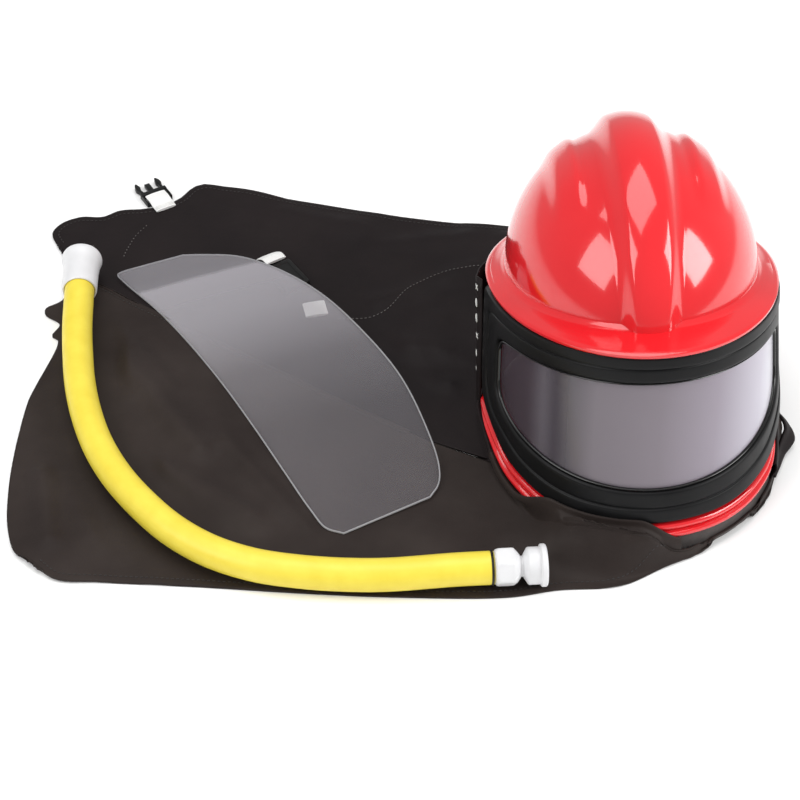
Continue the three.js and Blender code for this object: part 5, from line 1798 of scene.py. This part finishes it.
@dataclass
class Buckle:
    """The strap buckle's two halves and their webbing."""

    bench: Workbench
    width: float = 0.026
    thickness: float = 0.006
    male_length: float = 0.034
    female_length: float = 0.038
    female_thickness: float = 0.008
    webbing_width: float = 0.02
    webbing_thickness: float = 0.003
    tail_gap: float = 0.02
    tail_length: float = 0.018
    tail_turn: float = -0.35
    male_place: Place = (-0.226, 0.2665, 0.0, 31.0)
    female_place: Place = (-0.1115, 0.1685, 0.0023, -147.0)

    @staticmethod
    def at(place: Place) -> Matrix:
        """Returns the matrix of a half's own frame."""
        x, y, z, turn = place
        return Matrix.Translation((x, y, z)) @ Matrix.Rotation(math.radians(turn), 4, "Z")

    def prong_form(self, form: Form, side: int) -> None:
        """Adds one sprung prong with its arrow head."""
        half, long, deep = self.width / 2, self.male_length, self.thickness
        outline = (
            (0.62, 0.44), (0.7, 0.66), (0.6, 0.8), (0.72, 0.985), (0.84, 0.97), (0.97, 0.87), (1.0, 0.74),
            (0.9, 0.62), (0.87, 0.54), (0.98, 0.46), (0.98, 0.4), (0.64, 0.4),
        )
        corners = [form.verts.new((side * x * half, y * long, 0.0006)) for x, y in outline]
        face = form.faces.new(corners)
        made = bmesh.ops.extrude_face_region(form, geom=[face])
        tops = [item for item in made["geom"] if isinstance(item, bmesh.types.BMVert)]
        bmesh.ops.translate(form, verts=tops, vec=(0, 0, deep - 0.0012))
        edges = [edge for edge in form.edges if all(vertex in {*tops, *corners} for vertex in edge.verts)]
        bmesh.ops.bevel(
            form, geom=edges, offset=0.0006, segments=2, affect="EDGES", profile=0.5, material=-1,
            clamp_overlap=True,
        )

    def male_form(self) -> Form:
        """Returns the male half: prongs, tongue, cross bar and webbing bar."""
        form = bmesh.new()
        for side in (-1, 1):
            self.prong_form(form, side)
        wide, long, deep = self.width, self.male_length, self.thickness
        bars = (
            (0, 0.43, wide, 0.13 * long, deep), (0, 0.045, wide * 0.94, 0.09 * long, deep * 0.5),
            (0, 0.66, wide * 0.2, 0.46 * long, deep * 0.62),
            (-0.94, 0.22, wide * 0.06, 0.42 * long, deep * 0.9),
            (0.94, 0.22, wide * 0.06, 0.42 * long, deep * 0.9),
        )
        for x, y, size_x, size_y, size_z in bars:
            place = Matrix.Translation((x * wide / 2, y * long, size_z / 2 + 0.0004))
            rounded_bar(form, Vector((size_x, size_y, size_z)), place, 0.0005)
        bmesh.ops.recalc_face_normals(form, faces=form.faces)
        bmesh.ops.transform(form, matrix=self.at(self.male_place), verts=form.verts)
        return form

    def female_form(self) -> Form:
        """Returns the female half: a rounded sleeve with a mouth and two side windows."""
        form = bmesh.new()
        size = Vector((self.width, self.female_length, self.female_thickness))
        rounded_bar(form, size, Matrix.Translation((0, size.y / 2, size.z / 2)), 0.0022, 4)
        form.normal_update()
        mouth = [face for face in form.faces if face.normal.y > 0.99 and face.calc_area() > 1e-5]
        for depth in (0.0, -0.012):
            made = bmesh.ops.inset_region(form, faces=mouth, thickness=0.0011, depth=depth)
        top = [face for face in form.faces if face.normal.z > 0.99 and face.calc_area() > 1e-5]
        bmesh.ops.inset_region(form, faces=top, thickness=0.003, depth=0.0)
        bmesh.ops.inset_region(form, faces=top, thickness=0.0008, depth=-0.0007)
        bmesh.ops.transform(form, matrix=self.at(self.female_place), verts=form.verts)
        return form

    def tape_form(self, rows: Sequence[Pair], place: Place) -> Form:
        """Returns a strip of webbing bent over rows of place and height.

        Args:
            rows: Pairs of place along +Y and height.
            place: The half's own place.

        Returns:
            A closed strip with rounded edges.
        """
        half, thick = self.webbing_width / 2, self.webbing_thickness * 0.8
        line = catmull([Vector((0, along, height)) for along, height in rows], 8)
        outline = cut_corners([(-half, 0), (-half, thick), (half, thick), (half, 0)], 2)
        sections = [[Vector((x, point.y, point.z + up)) for x, up in outline] for point in line]
        form = lofted(sections, ring=False, closed=True)
        ends = [edge for edge in form.edges if edge.is_boundary]
        bmesh.ops.holes_fill(form, edges=ends, sides=0)
        bmesh.ops.recalc_face_normals(form, faces=form.faces)
        bmesh.ops.transform(form, matrix=self.at(place), verts=form.verts)
        return form

    def tack_form(self, rows: Sequence[float], height: float, place: Place) -> Form:
        """Returns zigzag bar tacks across the webbing.

        Args:
            rows: The tacks' places along +Y.
            height: The webbing's top.
            place: The half's own place.

        Returns:
            The tacks' stitches.
        """
        form = bmesh.new()
        for along in rows:
            for step in range(12):
                x = mix(-0.42, 0.42, step / 11) * self.webbing_width
                slant = 0.5 if step % 2 else -0.5
                turn = Matrix.Rotation(math.pi / 2 + slant, 4, "Z")
                size = Matrix.Diagonal((0.0016, 0.0004, 0.0003, 1))
                matrix = self.at(place) @ Matrix.Translation((x, along, height)) @ turn @ size
                bmesh.ops.create_icosphere(form, subdivisions=1, radius=1.0, matrix=matrix)
        return form

    def build(self) -> None:
        """Builds and dresses both halves."""
        bench = self.bench
        bench.keep("buckle_male_half", self.male_form(), BUCKLE_BLACK, Slot.BUCKLE, ["buckle_male"])
        bench.keep("buckle_female_half", self.female_form(), BUCKLE_BLACK, Slot.BUCKLE, ["buckle_female"])
        top = self.thickness * 0.5 + 2 * GAP
        male = self.tape_form(((-0.013, 0.0023), (-0.006, 0.0023), (0, top), (0.0115, top)), self.male_place)
        bench.keep("webbing_male_tape", male, WEBBING_WHITE, Slot.WEBBING, ["webbing_male"])
        sleeve = self.female_thickness
        rows = ((-0.02, 0), (-0.015, 0.004), (-0.008, sleeve), (-GAP, sleeve + GAP))
        female = self.tape_form(rows, self.female_place)
        bench.keep("webbing_female_tape", female, WEBBING_WHITE, Slot.WEBBING, ["webbing_female"])
        start = self.female_length + self.tail_gap
        tail = self.tape_form(((start, 0), (start + self.tail_length, 0)), self.female_place)
        middle = self.at(self.female_place) @ Vector((0, start + self.tail_length / 2, 0))
        bmesh.ops.rotate(tail, cent=middle, matrix=Matrix.Rotation(self.tail_turn, 3, "Z"), verts=tail.verts)
        bench.keep("webbing_tail_tape", tail, WEBBING_WHITE, Slot.WEBBING, ["webbing_tail"])
        tacks = self.tack_form((-0.0105, -0.008), 0.0048, self.male_place)
        bench.keep("webbing_tacks", tacks, THREAD_WHITE, Slot.WEBBING)


@dataclass(frozen=True)
class Studio:
    """The floor, the soft lights and the camera."""

    elevation: float = 44.0
    distance: float = 1.6025
    focal: float = 85.5
    sensor: float = 36.0
    floor_size: float = 8.0

    def camera(self) -> None:
        """Sets the camera at the photograph's angle."""
        data = bpy.data.cameras.new("camera")
        data.lens = self.focal
        data.sensor_width = self.sensor
        camera = linked("camera", data)
        tilt = math.radians(self.elevation)
        camera.location = (0, -self.distance * math.cos(tilt), self.distance * math.sin(tilt))
        camera.rotation_euler = (math.pi / 2 - tilt, 0, 0)
        bpy.context.scene.camera = camera

    def lamp(self, name: str, place: Sequence[float], size: Sequence[float], power: float) -> None:
        """Adds a soft rectangular light that looks at the helmet.

        Args:
            name: The light's name.
            place: Where it stands.
            size: Its width and height.
            power: Its power in watts.
        """
        data = bpy.data.lights.new(name, "AREA")
        data.shape = "RECTANGLE"
        data.size, data.size_y = size
        data.energy = power
        lamp = linked(name, data)
        lamp.location = place
        aim = Vector((HELMET_X, HELMET_Y, 0.15)) - Vector(place)
        lamp.rotation_euler = aim.to_track_quat("-Z", "Y").to_euler()

    def floor(self) -> None:
        """Lays the pale floor."""
        form = bmesh.new()
        bmesh.ops.create_grid(form, x_segments=1, y_segments=1, size=self.floor_size / 2)
        mesh = bpy.data.meshes.new("floor")
        form.to_mesh(mesh)
        form.free()
        floor = linked("floor", mesh)
        board = NodeBoard("floor_white")
        board.shade(Base_Color=(0.97, 0.97, 0.965, 1), Roughness=0.9)
        mesh.materials.append(board.material)

    def build(self) -> None:
        """Sets up the floor, lights and world."""
        self.floor()
        self.lamp("window_left", (-1.39, -0.91, 1.55), (1.3, 1.35), 22)
        self.lamp("window_right", (2.02, -0.56, 1.38), (1.15, 1.25), 36)
        self.lamp("overhead", (-0.1, 0.4, 2.7), (2.2, 1.8), 34)
        world = bpy.data.worlds.new("studio")
        world.use_nodes = True
        backdrop = next(node for node in world.node_tree.nodes if node.type == "BACKGROUND")
        backdrop.inputs["Color"].default_value = (1, 1, 1, 1)
        backdrop.inputs["Strength"].default_value = 0.42
        bpy.context.scene.world = world
        bpy.context.scene.view_settings.view_transform = "Standard"


def main() -> None:
    """Builds the hood and its studio, piece by piece."""
    logging.basicConfig(level=logging.INFO, format="%(name)s: %(message)s")
    studio = Studio()
    studio.camera()
    bench = Workbench()
    AirHose(bench).build()
    shape = HelmetShape()
    Helmet(shape, bench).build()
    Cape(shape, bench).build()
    SpareLens(bench).build()
    Buckle(bench).build()
    studio.build()
    bpy.context.view_layer.update()


if __name__ == "__main__":
    main()
